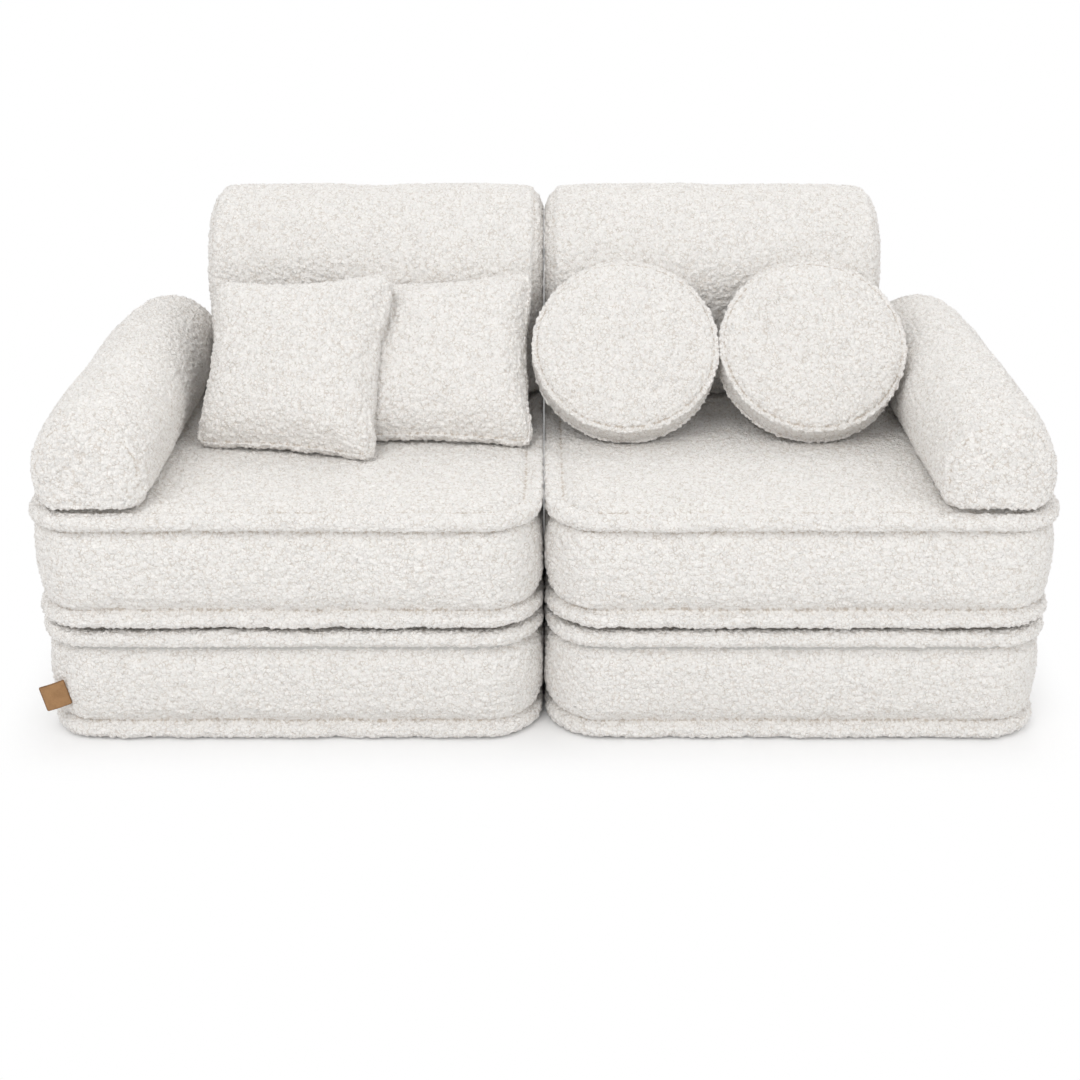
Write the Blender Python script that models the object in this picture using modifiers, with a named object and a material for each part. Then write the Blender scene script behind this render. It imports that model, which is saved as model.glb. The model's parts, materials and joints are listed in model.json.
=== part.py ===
"""Modular foam play sofa in a teddy boucle cover.

Two seat modules stand side by side. Each is a pair of foam blocks joined by a sewn fold
seam along the rear edge, so that the lower block swings out and makes a mattress. Two
half-round backs and two half-round arms stand loose on the seats, with two square and two
round pillows leaning on the backs. Every soft piece is a filling in a cover with a zip.

Metres, +Z up, the front towards -Y. The origin is in the middle of the footprint, on the
floor.
"""

import math

import bmesh
import bpy
from mathutils import Matrix, Vector
from mathutils.bvhtree import BVHTree

# Seat modules, each of two equal blocks
SEAT_WIDTH = 0.695
SEAT_DEPTH = 0.750
BLOCK_HEIGHT = 0.172
PLAN_CORNER_RADIUS = 0.078
SEAT_CROWN = 0.002
MODULE_GAP = 0.010
LAYER_GAP = 0.003

# Fat rolled edge round the top and the bottom of a block, with a seam on each side of it
ROLL_RADIUS = 0.013
FOOT_CUT = 0.0005
SEAM_DEPTH = 0.005
WALL_SEAM_INSET = 0.0135
WALL_SHOULDER_INSET = 0.006
WALL_BULGE_INSET = 0.003
WALL_SHOULDER_RISE = 0.018
PANEL_SEAM_INSET = 0.024
PANEL_EDGE_INSET = 0.045

# Sewn fold seam that joins the two blocks of a module along the rear edge
FOLD_AXIS_OUT = 0.002
FOLD_SEAM_RADIUS = 0.0072

# Half-round backs and arms. The backs fill the room between the arms
BACK_THICKNESS = 0.285
BACK_HEIGHT = 0.304
BACK_FRONT = 0.434
BACK_GAP = 0.008
BACK_ARM_GAP = 0.004
ARM_LENGTH = 0.578
ARM_THICKNESS = 0.161
ARM_HEIGHT = 0.135
ARM_FRONT = 0.010
ARM_SIDE_INSET = 0.017
BOLSTER_FOOT_RADIUS = 0.022
BOLSTER_END_RADIUS = 0.024
BOLSTER_END_CROWN = 0.003
BOLSTER_END_LIFT = 0.006
BOLSTER_BULGE = 0.004

# Pillows. A pair side by side is wider than a back by its overhang. The outer square one
# overlaps the inner, and the inner round one reaches over the middle
SQUARE_PAIR_OVERHANG = 0.036
SQUARE_OVERLAP = 0.062
SQUARE_MIDDLE_GAP = 0.0135
SQUARE_THICKNESS = 0.088
SQUARE_EDGE = 0.007
SQUARE_DRAW_IN = 0.008
SQUARE_TIP_ROUND = 0.007
ROUND_PAIR_OVERHANG = 0.032
ROUND_GAP = 0.001
ROUND_MIDDLE_OVERLAP = 0.0168
ROUND_THICKNESS = 0.074
ROUND_BAND = 0.052
ROUND_WELT = 0.004
SQUARE_OUTER_LEAN_DEGREES = 39
SQUARE_INNER_LEAN_DEGREES = 45
ROUND_LEAN_DEGREES = 43
SQUARE_OUTER_YAW_DEGREES = 11
SQUARE_INNER_YAW_DEGREES = 2
SQUARE_OUTER_ROLL_DEGREES = 3
SQUARE_INNER_ROLL_DEGREES = 2

# Fillings: how far a cover's inside lies behind its outside
FOAM_SIDE_INSET = 0.021
FOAM_FACE_INSET = 0.010
BOLSTER_FOAM_INSET = 0.013
PILLOW_FILLING_INSET = 0.011

# Zips, in a slot through the cover, and their sliders
ZIP_WIDTH = 0.008
ZIP_SIDE_RUN = 0.300
ZIP_FACE_INSET = 0.0145
BOLSTER_ZIP_RISE = 0.034
BOLSTER_ZIP_INSET = 0.007
BOLSTER_ZIP_MARGIN = 0.060
PILLOW_ZIP_LENGTH = 0.120
PILLOW_ZIP_DROP = 0.066
PILLOW_ZIP_DEPTH = 0.003
PILLOW_ZIP_RECESS = 0.004
SLIDER_LENGTH = 0.012
SLIDER_THICKNESS = 0.0035
SLIDER_BEVEL = 0.0007

# Leather tag sewn into the corner seam of the left lower block
TAG_LENGTH = 0.0352
TAG_HEIGHT = 0.037
TAG_THICKNESS = 0.0026
TAG_BEVEL = 0.0006
TAG_RISE = 0.054
TAG_SEAM_DEGREES = 237
TAG_TURN_DEGREES = 199
TAG_DROOP_DEGREES = 11

# Gap between touching pieces, gap behind a pillow whose drawn-in side faces a back, running
# gap of a filling in its cover, and a cut's overrun
TOUCH_GAP = 0.0004
DRAWN_SIDE_GAP = 0.0018
FIT_GAP = 0.0005
OVERRUN = 0.020

# Facet counts
CORNER_STEPS = 4
ARC_STEPS = 8
FOOT_STEPS = 2
TURN_STEPS = 22
SEAM_SIDES = 10

# Shares of a size, chosen by hand
ROLL_ANGLES = (-42, 0, 42, 78)
END_ANGLES = (0, 45, 90)
SEAT_CROWN_SHARES = ((0.62, 0.75), (0.25, 1.0))
END_CROWN_SHARES = ((0.30, 1.0), (0.72, 0.75))
SIDE_POINT_SHARES = (-1.0, -0.62, -0.2, 0.2, 0.62)
PILLOW_RING_SHARES = (1.0, 0.93, 0.76, 0.5, 0.2)
FILLING_RING_SHARES = (0.93, 0.6, 0.2)
ROUND_CROWN_SHARES = (0.35, 0.7, 0.9)
EDGE_SAMPLE_SHARES = (0.125, 0.25, 0.375, 0.5)
ROUNDNESS_SHARE = 0.6
SLUMP_SHARE = 0.06
BEVEL_PROFILE_SHARE = 0.5

# Places worked out from the sizes above
SEAT_TOP = 2 * BLOCK_HEIGHT + LAYER_GAP
FOLD_OVERHANG = FOLD_AXIS_OUT + FOLD_SEAM_RADIUS
FRONT_Y = -(SEAT_DEPTH + FOLD_OVERHANG) / 2
SEAT_CENTRE_X = (SEAT_WIDTH + MODULE_GAP) / 2
SEAT_CENTRE_Y = FRONT_Y + SEAT_DEPTH / 2
SIT_Z = SEAT_TOP + SEAT_CROWN + TOUCH_GAP
ARM_INNER_X = MODULE_GAP / 2 + SEAT_WIDTH - ARM_SIDE_INSET - ARM_THICKNESS
BACK_WIDTH = ARM_INNER_X - BACK_ARM_GAP - BACK_GAP / 2
SQUARE_SIDE = (BACK_WIDTH + SQUARE_PAIR_OVERHANG) / 2
SQUARE_INNER_PLACE = SQUARE_SIDE / 2 + SQUARE_MIDDLE_GAP
SQUARE_OUTER_PLACE = SQUARE_INNER_PLACE + SQUARE_SIDE - SQUARE_OVERLAP
ROUND_DIAMETER = (BACK_WIDTH + ROUND_PAIR_OVERHANG) / 2
ROUND_INNER_PLACE = ROUND_DIAMETER / 2 - ROUND_MIDDLE_OVERLAP
ROUND_OUTER_PLACE = ROUND_INNER_PLACE + ROUND_DIAMETER + ROUND_GAP

SIDE_LABELS = ("left", "right")
BACK_COVERS = tuple(f"back_{label}_cover" for label in SIDE_LABELS)
DOWN = Vector((0, 0, -1))
REARWARD = Vector((0, 1, 0))

FINISHES = {
    "boucle": ((0.80, 0.775, 0.735), 0.95, 0.0),
    "foam": ((0.86, 0.80, 0.62), 0.90, 0.0),
    "fibre": ((0.90, 0.90, 0.88), 0.95, 0.0),
    "zip": ((0.66, 0.65, 0.63), 0.55, 0.0),
    "slider": ((0.62, 0.62, 0.60), 0.30, 0.9),
    "leather": ((0.39, 0.20, 0.09), 0.60, 0.0),
}


def clear_scene():
    """Remove every object that the scene starts with."""
    for obj in list(bpy.data.objects):
        bpy.data.objects.remove(obj, do_unlink=True)


def new_collection(name):
    """Add a collection to the scene."""
    collection = bpy.data.collections.new(name)
    bpy.context.scene.collection.children.link(collection)
    return collection


clear_scene()
SOFA = new_collection("modular_foam_play_sofa")
CUTTERS = new_collection("cutters")


def dress(obj, finish_name):
    """Give an object its own Principled material."""
    colour, roughness, metallic = FINISHES[finish_name]
    material = bpy.data.materials.new(obj.name + "_" + finish_name)
    material.use_nodes = True
    shader = material.node_tree.nodes["Principled BSDF"]
    shader.inputs["Base Color"].default_value = (*colour, 1.0)
    shader.inputs["Roughness"].default_value = roughness
    shader.inputs["Metallic"].default_value = metallic
    obj.data.materials.append(material)


def add_object(name, mesh, finish_name=None):
    """Link a mesh as a part with a finish, or as a hidden cutter without one."""
    obj = bpy.data.objects.new(name, mesh)
    if finish_name:
        SOFA.objects.link(obj)
        dress(obj, finish_name)
    else:
        CUTTERS.objects.link(obj)
        obj.hide_render = True
        obj.display_type = "WIRE"
    return obj


def mesh_from(bm, name, smooth=True):
    """Turn a bmesh into a mesh with its faces pointing out."""
    bmesh.ops.recalc_face_normals(bm, faces=bm.faces)
    mesh = bpy.data.meshes.new(name)
    bm.to_mesh(mesh)
    bm.free()
    if smooth:
        mesh.shade_smooth()
    return mesh


def loft(name, rings, finish_name=None):
    """Skin a stack of closed rings of equal length and cap its two ends."""
    bm = bmesh.new()
    loops = [[bm.verts.new(point) for point in ring] for ring in rings]
    for lower, upper in zip(loops, loops[1:]):
        for index, start in enumerate(lower):
            after = (index + 1) % len(lower)
            bm.faces.new((start, lower[after], upper[after], upper[index]))
    bm.faces.new(loops[0])
    bm.faces.new(loops[-1])
    return add_object(name, mesh_from(bm, name), finish_name)


def prism(name, outline, thickness, finish_name=None):
    """Extrude a flat outline to a slab of this thickness, half of it on each side of Z = 0."""
    curve = bpy.data.curves.new(name, "CURVE")
    curve.dimensions = "2D"
    curve.fill_mode = "BOTH"
    curve.extrude = thickness / 2
    spline = curve.splines.new("POLY")
    spline.points.add(len(outline) - 1)
    for point, (x, y) in zip(spline.points, outline):
        point.co = (x, y, 0, 1)
    spline.use_cyclic_u = True
    drawn = bpy.data.objects.new(name + "_outline", curve)
    CUTTERS.objects.link(drawn)
    bpy.context.view_layer.update()
    depsgraph = bpy.context.evaluated_depsgraph_get()
    filled = bpy.data.meshes.new_from_object(drawn.evaluated_get(depsgraph))
    bm = bmesh.new()
    bm.from_mesh(filled)
    bmesh.ops.remove_doubles(bm, verts=bm.verts, dist=TOUCH_GAP / 10)
    bpy.data.objects.remove(drawn, do_unlink=True)
    return add_object(name, mesh_from(bm, name, smooth=False), finish_name)


def box(name, size, finish_name=None, bevel=0, centre=(0, 0, 0)):
    """Make a box about a centre, with its edges bevelled if a bevel is given."""
    bm = bmesh.new()
    bmesh.ops.create_cube(bm, size=1)
    bmesh.ops.scale(bm, vec=size, verts=bm.verts)
    bmesh.ops.translate(bm, vec=centre, verts=bm.verts)
    obj = add_object(name, mesh_from(bm, name, smooth=False), finish_name)
    if bevel:
        rounding = obj.modifiers.new("edges", "BEVEL")
        rounding.width = bevel
        rounding.segments = 1
    return obj


def cut(obj, cutter):
    """Cut one object out of another with a live Boolean."""
    boolean = obj.modifiers.new(cutter.name, "BOOLEAN")
    boolean.operation = "DIFFERENCE"
    boolean.solver = "EXACT"
    boolean.object = cutter


def place(objects, matrix):
    """Move finished objects from their own frame into the sofa's."""
    for obj in objects:
        obj.matrix_world = matrix @ obj.matrix_world


def surface_of(objects):
    """Sample points and a search tree of objects' evaluated surfaces, in the sofa's frame."""
    bpy.context.view_layer.update()
    depsgraph = bpy.context.evaluated_depsgraph_get()
    corners = []
    faces = []
    for obj in objects:
        evaluated = obj.evaluated_get(depsgraph)
        mesh = evaluated.to_mesh()
        first = len(corners)
        corners.extend(evaluated.matrix_world @ vertex.co for vertex in mesh.vertices)
        for polygon in mesh.polygons:
            faces.append([first + index for index in polygon.vertices])
        evaluated.to_mesh_clear()
    samples = list(corners)
    for face in faces:
        samples.append(sum((corners[index] for index in face), Vector()) / len(face))
        for start, end in zip(face, face[1:] + face[:1]):
            for share in EDGE_SAMPLE_SHARES:
                samples.append(corners[start].lerp(corners[end], share))
    return samples, BVHTree.FromPolygons(corners, faces)


def travel(mover, carriers, way):
    """How far an object can move one way before it meets its carriers."""
    samples, tree = surface_of([mover])
    carrier_samples, carrier_tree = surface_of(carriers)
    distances = []
    for points, target, direction in ((samples, carrier_tree, way), (carrier_samples, tree, -way)):
        for point in points:
            distance = target.ray_cast(point, direction)[3]
            if distance is not None:
                distances.append(distance)
    return min(distances)


def plan_outline(inset):
    """Points round a block seen from above, its corners round, drawn in by an inset."""
    points = []
    for quarter, (side, end) in enumerate(((1, 1), (-1, 1), (-1, -1), (1, -1))):
        for step in range(CORNER_STEPS + 1):
            angle = math.radians(90) * (quarter + step / CORNER_STEPS)
            reach = PLAN_CORNER_RADIUS - inset
            x = side * (SEAT_WIDTH / 2 - PLAN_CORNER_RADIUS) + reach * math.cos(angle)
            y = end * (SEAT_DEPTH / 2 - PLAN_CORNER_RADIUS) + reach * math.sin(angle)
            points.append((x, y))
    return points


def edge_profile():
    """Inset and height of each ring from a block's bottom panel up to the foot of its wall."""
    centre = ROLL_RADIUS - FOOT_CUT
    half_flat = math.sqrt(ROLL_RADIUS ** 2 - centre ** 2)
    rings = [
        (PANEL_EDGE_INSET, 0),
        (PANEL_SEAM_INSET, SEAM_DEPTH),
        (ROLL_RADIUS + half_flat, 0),
        (ROLL_RADIUS - half_flat, 0),
    ]
    for degrees in ROLL_ANGLES:
        angle = math.radians(degrees)
        inset = ROLL_RADIUS * (1 - math.cos(angle))
        rings.append((inset, centre + ROLL_RADIUS * math.sin(angle)))
    rings.append((WALL_SEAM_INSET, 2 * ROLL_RADIUS))
    rings.append((WALL_SHOULDER_INSET, 2 * ROLL_RADIUS + WALL_SHOULDER_RISE))
    return rings


def block_form(name, crowned):
    """Outer form of a seat block: rolled edges, a wall that swells between them, a crown."""
    lower = edge_profile()
    middle = [(WALL_BULGE_INSET, BLOCK_HEIGHT / 2)]
    upper = [(inset, BLOCK_HEIGHT - height) for inset, height in reversed(lower)]
    rings = []
    for inset, height in lower + middle + upper:
        rings.append([(x, y, height) for x, y in plan_outline(inset)])
    if crowned:
        for scale_share, crown_share in SEAT_CROWN_SHARES:
            height = BLOCK_HEIGHT + SEAT_CROWN * crown_share
            outline = plan_outline(PANEL_EDGE_INSET)
            rings.append([(x * scale_share, y * scale_share, height) for x, y in outline])
    return loft(name, rings, "boucle")


def foam_block(name, gap, finish_name=None):
    """Foam of a seat block, grown by a gap where it serves to hollow the cover."""
    side_inset = FOAM_SIDE_INSET - gap
    face_inset = FOAM_FACE_INSET - gap
    size = (SEAT_WIDTH - 2 * side_inset, SEAT_DEPTH - 2 * side_inset, BLOCK_HEIGHT - 2 * face_inset)
    bm = bmesh.new()
    bmesh.ops.create_cube(bm, size=1)
    bmesh.ops.scale(bm, vec=size, verts=bm.verts)
    bmesh.ops.translate(bm, vec=(0, 0, BLOCK_HEIGHT / 2), verts=bm.verts)
    upright = []
    for edge in bm.edges:
        start, end = edge.verts
        if math.isclose(start.co.x, end.co.x) and math.isclose(start.co.y, end.co.y):
            upright.append(edge)
    bmesh.ops.bevel(
        bm,
        geom=upright,
        offset=PLAN_CORNER_RADIUS - side_inset,
        segments=CORNER_STEPS,
        profile=BEVEL_PROFILE_SHARE,
        affect="EDGES",
    )
    return add_object(name, mesh_from(bm, name, smooth=False), finish_name)


def zip_path(inset, run):
    """Line of a block's zip, drawn in by an inset.

    It goes round the inner front corner, along the front, round the outer front corner
    and back along the outer side. Here the outer side is +X.
    """
    reach = PLAN_CORNER_RADIUS - inset
    centre_x = SEAT_WIDTH / 2 - PLAN_CORNER_RADIUS
    centre_y = SEAT_DEPTH / 2 - PLAN_CORNER_RADIUS
    points = []
    for side, start in ((-1, 180), (1, 270)):
        for step in range(CORNER_STEPS + 1):
            angle = math.radians(start + 90 * step / CORNER_STEPS)
            x = side * centre_x + reach * math.cos(angle)
            y = reach * math.sin(angle) - centre_y
            points.append((x, y))
    points.append((SEAT_WIDTH / 2 - inset, run - centre_y))
    return points


def zip_strip(name, outer_inset, inner_inset, width, run, finish_name=None):
    """A strip that follows the zip's line between two insets."""
    outer = zip_path(outer_inset, run)
    inner = zip_path(inner_inset, run)
    return prism(name, outer + inner[::-1], width, finish_name)


def seat_block(name, side, upper):
    """One block of a module: cover, foam, zip and slider.

    The side is -1 on the left and 1 on the right. A lower block's zip runs along the
    front, and an upper block's along the rear.
    """
    cover = block_form(name + "_cover", crowned=upper)
    foam = foam_block(name + "_foam", 0, "foam")
    cavity = foam_block(name + "_cavity", FIT_GAP)
    tape = zip_strip(
        name + "_zip",
        ZIP_FACE_INSET,
        FOAM_SIDE_INSET - FIT_GAP,
        ZIP_WIDTH - 2 * TOUCH_GAP,
        ZIP_SIDE_RUN - TOUCH_GAP,
        "zip",
    )
    slot = zip_strip(name + "_slot", -OVERRUN, FOAM_SIDE_INSET, ZIP_WIDTH, ZIP_SIDE_RUN)
    zip_z = BLOCK_HEIGHT - 2 * ROLL_RADIUS - ZIP_WIDTH / 2
    slider_x = SEAT_WIDTH / 2 - ZIP_FACE_INSET + TOUCH_GAP + SLIDER_THICKNESS / 2
    slider_y = ZIP_SIDE_RUN - SEAT_DEPTH / 2 + PLAN_CORNER_RADIUS - SLIDER_LENGTH
    slider = box(
        name + "_zip_slider",
        (SLIDER_THICKNESS, SLIDER_LENGTH, ZIP_WIDTH - 2 * TOUCH_GAP),
        "slider",
        SLIDER_BEVEL,
    )
    end = -1 if upper else 1
    across = (side, end)
    for strip in (tape, slot):
        strip.data.transform(Matrix.Diagonal((*across, 1, 1)))
        if side * end < 0:
            strip.data.flip_normals()
        strip.data.transform(Matrix.Translation((0, 0, zip_z)))
    slider.location = (side * slider_x, end * slider_y, zip_z)
    cut(cover, cavity)
    cut(cover, slot)
    floor = BLOCK_HEIGHT + LAYER_GAP if upper else 0
    home = Matrix.Translation((side * SEAT_CENTRE_X, SEAT_CENTRE_Y, floor))
    bpy.context.view_layer.update()
    place((cover, foam, cavity, tape, slot, slider), home)


def fold_seam(name, side):
    """Sewn roll on the fold line between a module's two blocks."""
    length = SEAT_WIDTH - 2 * PLAN_CORNER_RADIUS
    bm = bmesh.new()
    bmesh.ops.create_cone(
        bm,
        cap_ends=True,
        segments=SEAM_SIDES,
        radius1=FOLD_SEAM_RADIUS,
        radius2=FOLD_SEAM_RADIUS,
        depth=length,
    )
    bmesh.ops.rotate(bm, verts=bm.verts, matrix=Matrix.Rotation(math.radians(90), 3, "Y"))
    obj = add_object(name, mesh_from(bm, name), "boucle")
    axis_y = FRONT_Y + SEAT_DEPTH + FOLD_AXIS_OUT
    obj.location = (side * SEAT_CENTRE_X, axis_y, BLOCK_HEIGHT + LAYER_GAP / 2)


def half_round(width, height, foot_radius, lift=0):
    """Section of a back or an arm: flat below, half round above, with small round feet."""
    radius = width / 2
    spring_z = height - radius
    middle_z = (foot_radius + spring_z) / 2
    points = []
    for step in range(FOOT_STEPS + 1):
        angle = math.radians(90 * step / FOOT_STEPS - 90)
        points.append((
            radius - foot_radius + foot_radius * math.cos(angle),
            foot_radius + foot_radius * math.sin(angle),
        ))
    points.append((radius, middle_z))
    for step in range(ARC_STEPS + 1):
        angle = math.radians(180 * step / ARC_STEPS)
        points.append((radius * math.cos(angle), spring_z + radius * math.sin(angle)))
    points.append((-radius, middle_z))
    for step in range(FOOT_STEPS + 1):
        angle = math.radians(180 + 90 * step / FOOT_STEPS)
        points.append((
            foot_radius - radius + foot_radius * math.cos(angle),
            foot_radius + foot_radius * math.sin(angle),
        ))
    return [(across, up + lift) for across, up in points]


def bolster_form(name, length, width, height):
    """Outer form of a back or an arm, along X: crowned ends, soft edges, a swollen middle."""
    base_width = width - 2 * BOLSTER_BULGE
    base_height = height - BOLSTER_BULGE
    section = half_round(base_width, base_height, BOLSTER_FOOT_RADIUS)
    face = length / 2 - BOLSTER_END_CROWN
    stations = []
    for scale_share, crown_share in END_CROWN_SHARES:
        inset = (1 - scale_share) * base_width / 2
        stations.append((face + BOLSTER_END_CROWN * crown_share, inset, 0))
    for degrees in END_ANGLES:
        angle = math.radians(degrees)
        inset = BOLSTER_END_RADIUS * (1 - math.sin(angle))
        setback = BOLSTER_END_RADIUS * (1 - math.cos(angle))
        stations.append((face - setback, inset, 0))
    stations.append((length / 4, 0, BOLSTER_BULGE))
    mirrored = [(-x, inset, bulge) for x, inset, bulge in reversed(stations)]
    rings = []
    for x, inset, bulge in stations + [(0, 0, BOLSTER_BULGE)] + mirrored:
        wide = 1 + 2 * (bulge - inset) / base_width
        foot = BOLSTER_END_LIFT * inset / BOLSTER_END_RADIUS
        tall = 1 + (bulge - inset - foot) / base_height
        rings.append([(x, across * wide, foot + up * tall) for across, up in section])
    return loft(name, rings, "boucle")


def bolster_foam(name, length, width, height, gap, finish_name=None):
    """Foam of a back or an arm, grown by a gap where it serves to hollow the cover."""
    inset = BOLSTER_FOAM_INSET + BOLSTER_BULGE - gap
    end_inset = BOLSTER_FOAM_INSET + BOLSTER_END_CROWN - gap
    outline = half_round(
        width - 2 * inset,
        height - 2 * inset,
        BOLSTER_FOOT_RADIUS - BOLSTER_FOAM_INSET + gap,
        inset,
    )
    obj = prism(name, outline, length - 2 * end_inset, finish_name)
    stand = Matrix.Rotation(math.radians(90), 4, "X")
    turn = Matrix.Rotation(math.radians(90), 4, "Z")
    obj.data.transform(turn @ stand)
    return obj


def bolster(name, length, width, height, home):
    """A back or an arm: cover, foam, zip and slider, the zip on its +Y side."""
    cover = bolster_form(name + "_cover", length, width, height)
    foam = bolster_foam(name + "_foam", length, width, height, 0, "foam")
    cavity = bolster_foam(name + "_cavity", length, width, height, FIT_GAP)
    zip_length = length - 2 * BOLSTER_ZIP_MARGIN
    face_y = width / 2 - BOLSTER_ZIP_INSET
    inner_y = width / 2 - BOLSTER_BULGE - BOLSTER_FOAM_INSET + FIT_GAP
    tape = box(
        name + "_zip",
        (zip_length - 2 * TOUCH_GAP, face_y - inner_y, ZIP_WIDTH - 2 * TOUCH_GAP),
        "zip",
        centre=(0, (face_y + inner_y) / 2, BOLSTER_ZIP_RISE),
    )
    reach = width / 2 + OVERRUN - inner_y + FIT_GAP
    slot = box(
        name + "_slot",
        (zip_length, reach, ZIP_WIDTH),
        centre=(0, width / 2 + OVERRUN - reach / 2, BOLSTER_ZIP_RISE),
    )
    slider = box(
        name + "_zip_slider",
        (SLIDER_LENGTH, SLIDER_THICKNESS, ZIP_WIDTH - 2 * TOUCH_GAP),
        "slider",
        SLIDER_BEVEL,
    )
    slider.location = (
        SLIDER_LENGTH - zip_length / 2,
        face_y + TOUCH_GAP + SLIDER_THICKNESS / 2,
        BOLSTER_ZIP_RISE,
    )
    cut(cover, cavity)
    cut(cover, slot)
    bpy.context.view_layer.update()
    place((cover, foam, cavity, tape, slot, slider), home)


def square_outline(side_length):
    """Edge of a square pillow: drawn-in sides, round tips, and one side slumped lower."""
    half = side_length / 2
    points = []
    for quarter in range(4):
        turn = Matrix.Rotation(math.radians(90) * quarter, 2)
        for share in SIDE_POINT_SHARES:
            out = half - SQUARE_DRAW_IN * (1 - share ** 2)
            along = half * share
            if abs(share) == 1:
                out -= SQUARE_TIP_ROUND
                along += SQUARE_TIP_ROUND
            u, v = turn @ Vector((out, along))
            points.append((u, v * (1 + SLUMP_SHARE * u / half)))
    return points


def crown_height(scale_share, thickness, edge):
    """Half thickness of a pillow at a ring of this scale."""
    rise = (1 - scale_share ** 2) ** ROUNDNESS_SHARE
    return edge / 2 + (thickness - edge) / 2 * rise


def square_form(name, inset, ring_shares, finish_name=None):
    """A square pillow in the XZ plane, drawn in by an inset all round."""
    thickness = SQUARE_THICKNESS - 2 * inset
    outline = square_outline(SQUARE_SIDE - 2 * inset)
    rings = []
    for face in (-1, 1):
        for share in ring_shares[::face]:
            y = face * crown_height(share, thickness, SQUARE_EDGE)
            rings.append([(u * share, y, v * share) for u, v in outline])
    return loft(name, rings, finish_name)


def turned(name, profile, finish_name=None):
    """Turn a profile of radius and height about Z, then lay its axis along Y."""
    bm = bmesh.new()
    points = [bm.verts.new((radius, 0, height)) for radius, height in profile]
    for start, end in zip(points, points[1:]):
        bm.edges.new((start, end))
    mesh = bpy.data.meshes.new(name)
    bm.to_mesh(mesh)
    bm.free()
    obj = add_object(name, mesh, finish_name)
    screw = obj.modifiers.new("turn", "SCREW")
    screw.axis = "Z"
    screw.steps = TURN_STEPS
    screw.render_steps = TURN_STEPS
    screw.use_merge_vertices = True
    screw.merge_threshold = TOUCH_GAP / 10
    obj.matrix_world = Matrix.Rotation(math.radians(90), 4, "X")
    return obj


def round_half_profile():
    """Upper half of a round pillow's outer profile, from its axis to its edge."""
    radius = ROUND_DIAMETER / 2
    half_band = ROUND_BAND / 2
    crown = ROUND_THICKNESS / 2
    seam_radius = radius - 2 * ROUND_WELT
    profile = [(0, crown)]
    for share in ROUND_CROWN_SHARES:
        rise = (1 - share ** 2) ** ROUNDNESS_SHARE
        profile.append((seam_radius * share, half_band + (crown - half_band) * rise))
    profile.append((seam_radius, half_band - ROUND_WELT / 2))
    profile.append((radius - ROUND_WELT, half_band + ROUND_WELT / 2))
    profile.append((radius, half_band - ROUND_WELT))
    profile.append((radius - ROUND_WELT, half_band - 2 * ROUND_WELT))
    return profile


def round_filling(name, gap, finish_name=None):
    """Filling of a round pillow, grown by a gap where it serves to hollow the cover."""
    inset = PILLOW_FILLING_INSET - gap
    radius = ROUND_DIAMETER / 2 - inset
    half = ROUND_BAND / 2 - inset + ROUND_WELT
    profile = [(0, half), (radius - ROUND_WELT, half), (radius, half - ROUND_WELT)]
    below = [(out, -height) for out, height in reversed(profile)]
    return turned(name, profile + below, finish_name)


def pillow_zip(name, surface):
    """Zip, slot cutter and slider across the rear face of a pillow in the XZ plane.

    The surface is how far the rear face lies from the pillow's middle at the zip.
    """
    face_y = surface - PILLOW_ZIP_RECESS
    tape = box(
        name + "_zip",
        (PILLOW_ZIP_LENGTH - 2 * TOUCH_GAP, PILLOW_ZIP_DEPTH, ZIP_WIDTH - 2 * TOUCH_GAP),
        "zip",
        centre=(0, face_y - PILLOW_ZIP_DEPTH / 2, -PILLOW_ZIP_DROP),
    )
    reach = surface + OVERRUN
    slot = box(
        name + "_slot",
        (PILLOW_ZIP_LENGTH, reach, ZIP_WIDTH),
        centre=(0, reach / 2, -PILLOW_ZIP_DROP),
    )
    slider = box(
        name + "_zip_slider",
        (SLIDER_LENGTH, SLIDER_THICKNESS, ZIP_WIDTH - 2 * TOUCH_GAP),
        "slider",
        SLIDER_BEVEL,
    )
    slider.location = (
        SLIDER_LENGTH - PILLOW_ZIP_LENGTH / 2,
        face_y + TOUCH_GAP + SLIDER_THICKNESS / 2,
        -PILLOW_ZIP_DROP,
    )
    return tape, slot, slider


def lean_on(cover, pieces, x, lean, yaw, roll, rests, rear_gap):
    """Turn a pillow, lower it onto the seats and push it back against what it rests on.

    It starts at the front of the seats. Each push begins clear of what it meets and stops a
    touching gap short, or the rear gap. The pair is repeated, with a last push down, because
    the seats are crowned and the backs are round.
    """
    turn = (
        Matrix.Rotation(math.radians(yaw), 4, "Z")
        @ Matrix.Rotation(math.radians(-lean), 4, "X")
        @ Matrix.Rotation(math.radians(roll), 4, "Y")
    )
    bpy.context.view_layer.update()
    place(pieces, turn)
    points = surface_of([cover])[0]
    y = FRONT_Y + PANEL_EDGE_INSET - min(point.y for point in points)
    z = SIT_Z + OVERRUN - min(point.z for point in points)
    place(pieces, Matrix.Translation((x, y, z)))
    seats = [SOFA.objects[f"seat_{label}_upper_cover"] for label in SIDE_LABELS]
    carriers = [SOFA.objects[name] for name in rests]
    pushes = ((seats, DOWN, TOUCH_GAP), (carriers, REARWARD, rear_gap))
    for objects, way, gap in (*pushes, *pushes, pushes[0]):
        place(pieces, Matrix.Translation(-way * OVERRUN))
        push = travel(cover, objects, way) - gap
        place(pieces, Matrix.Translation(way * push))


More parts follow.
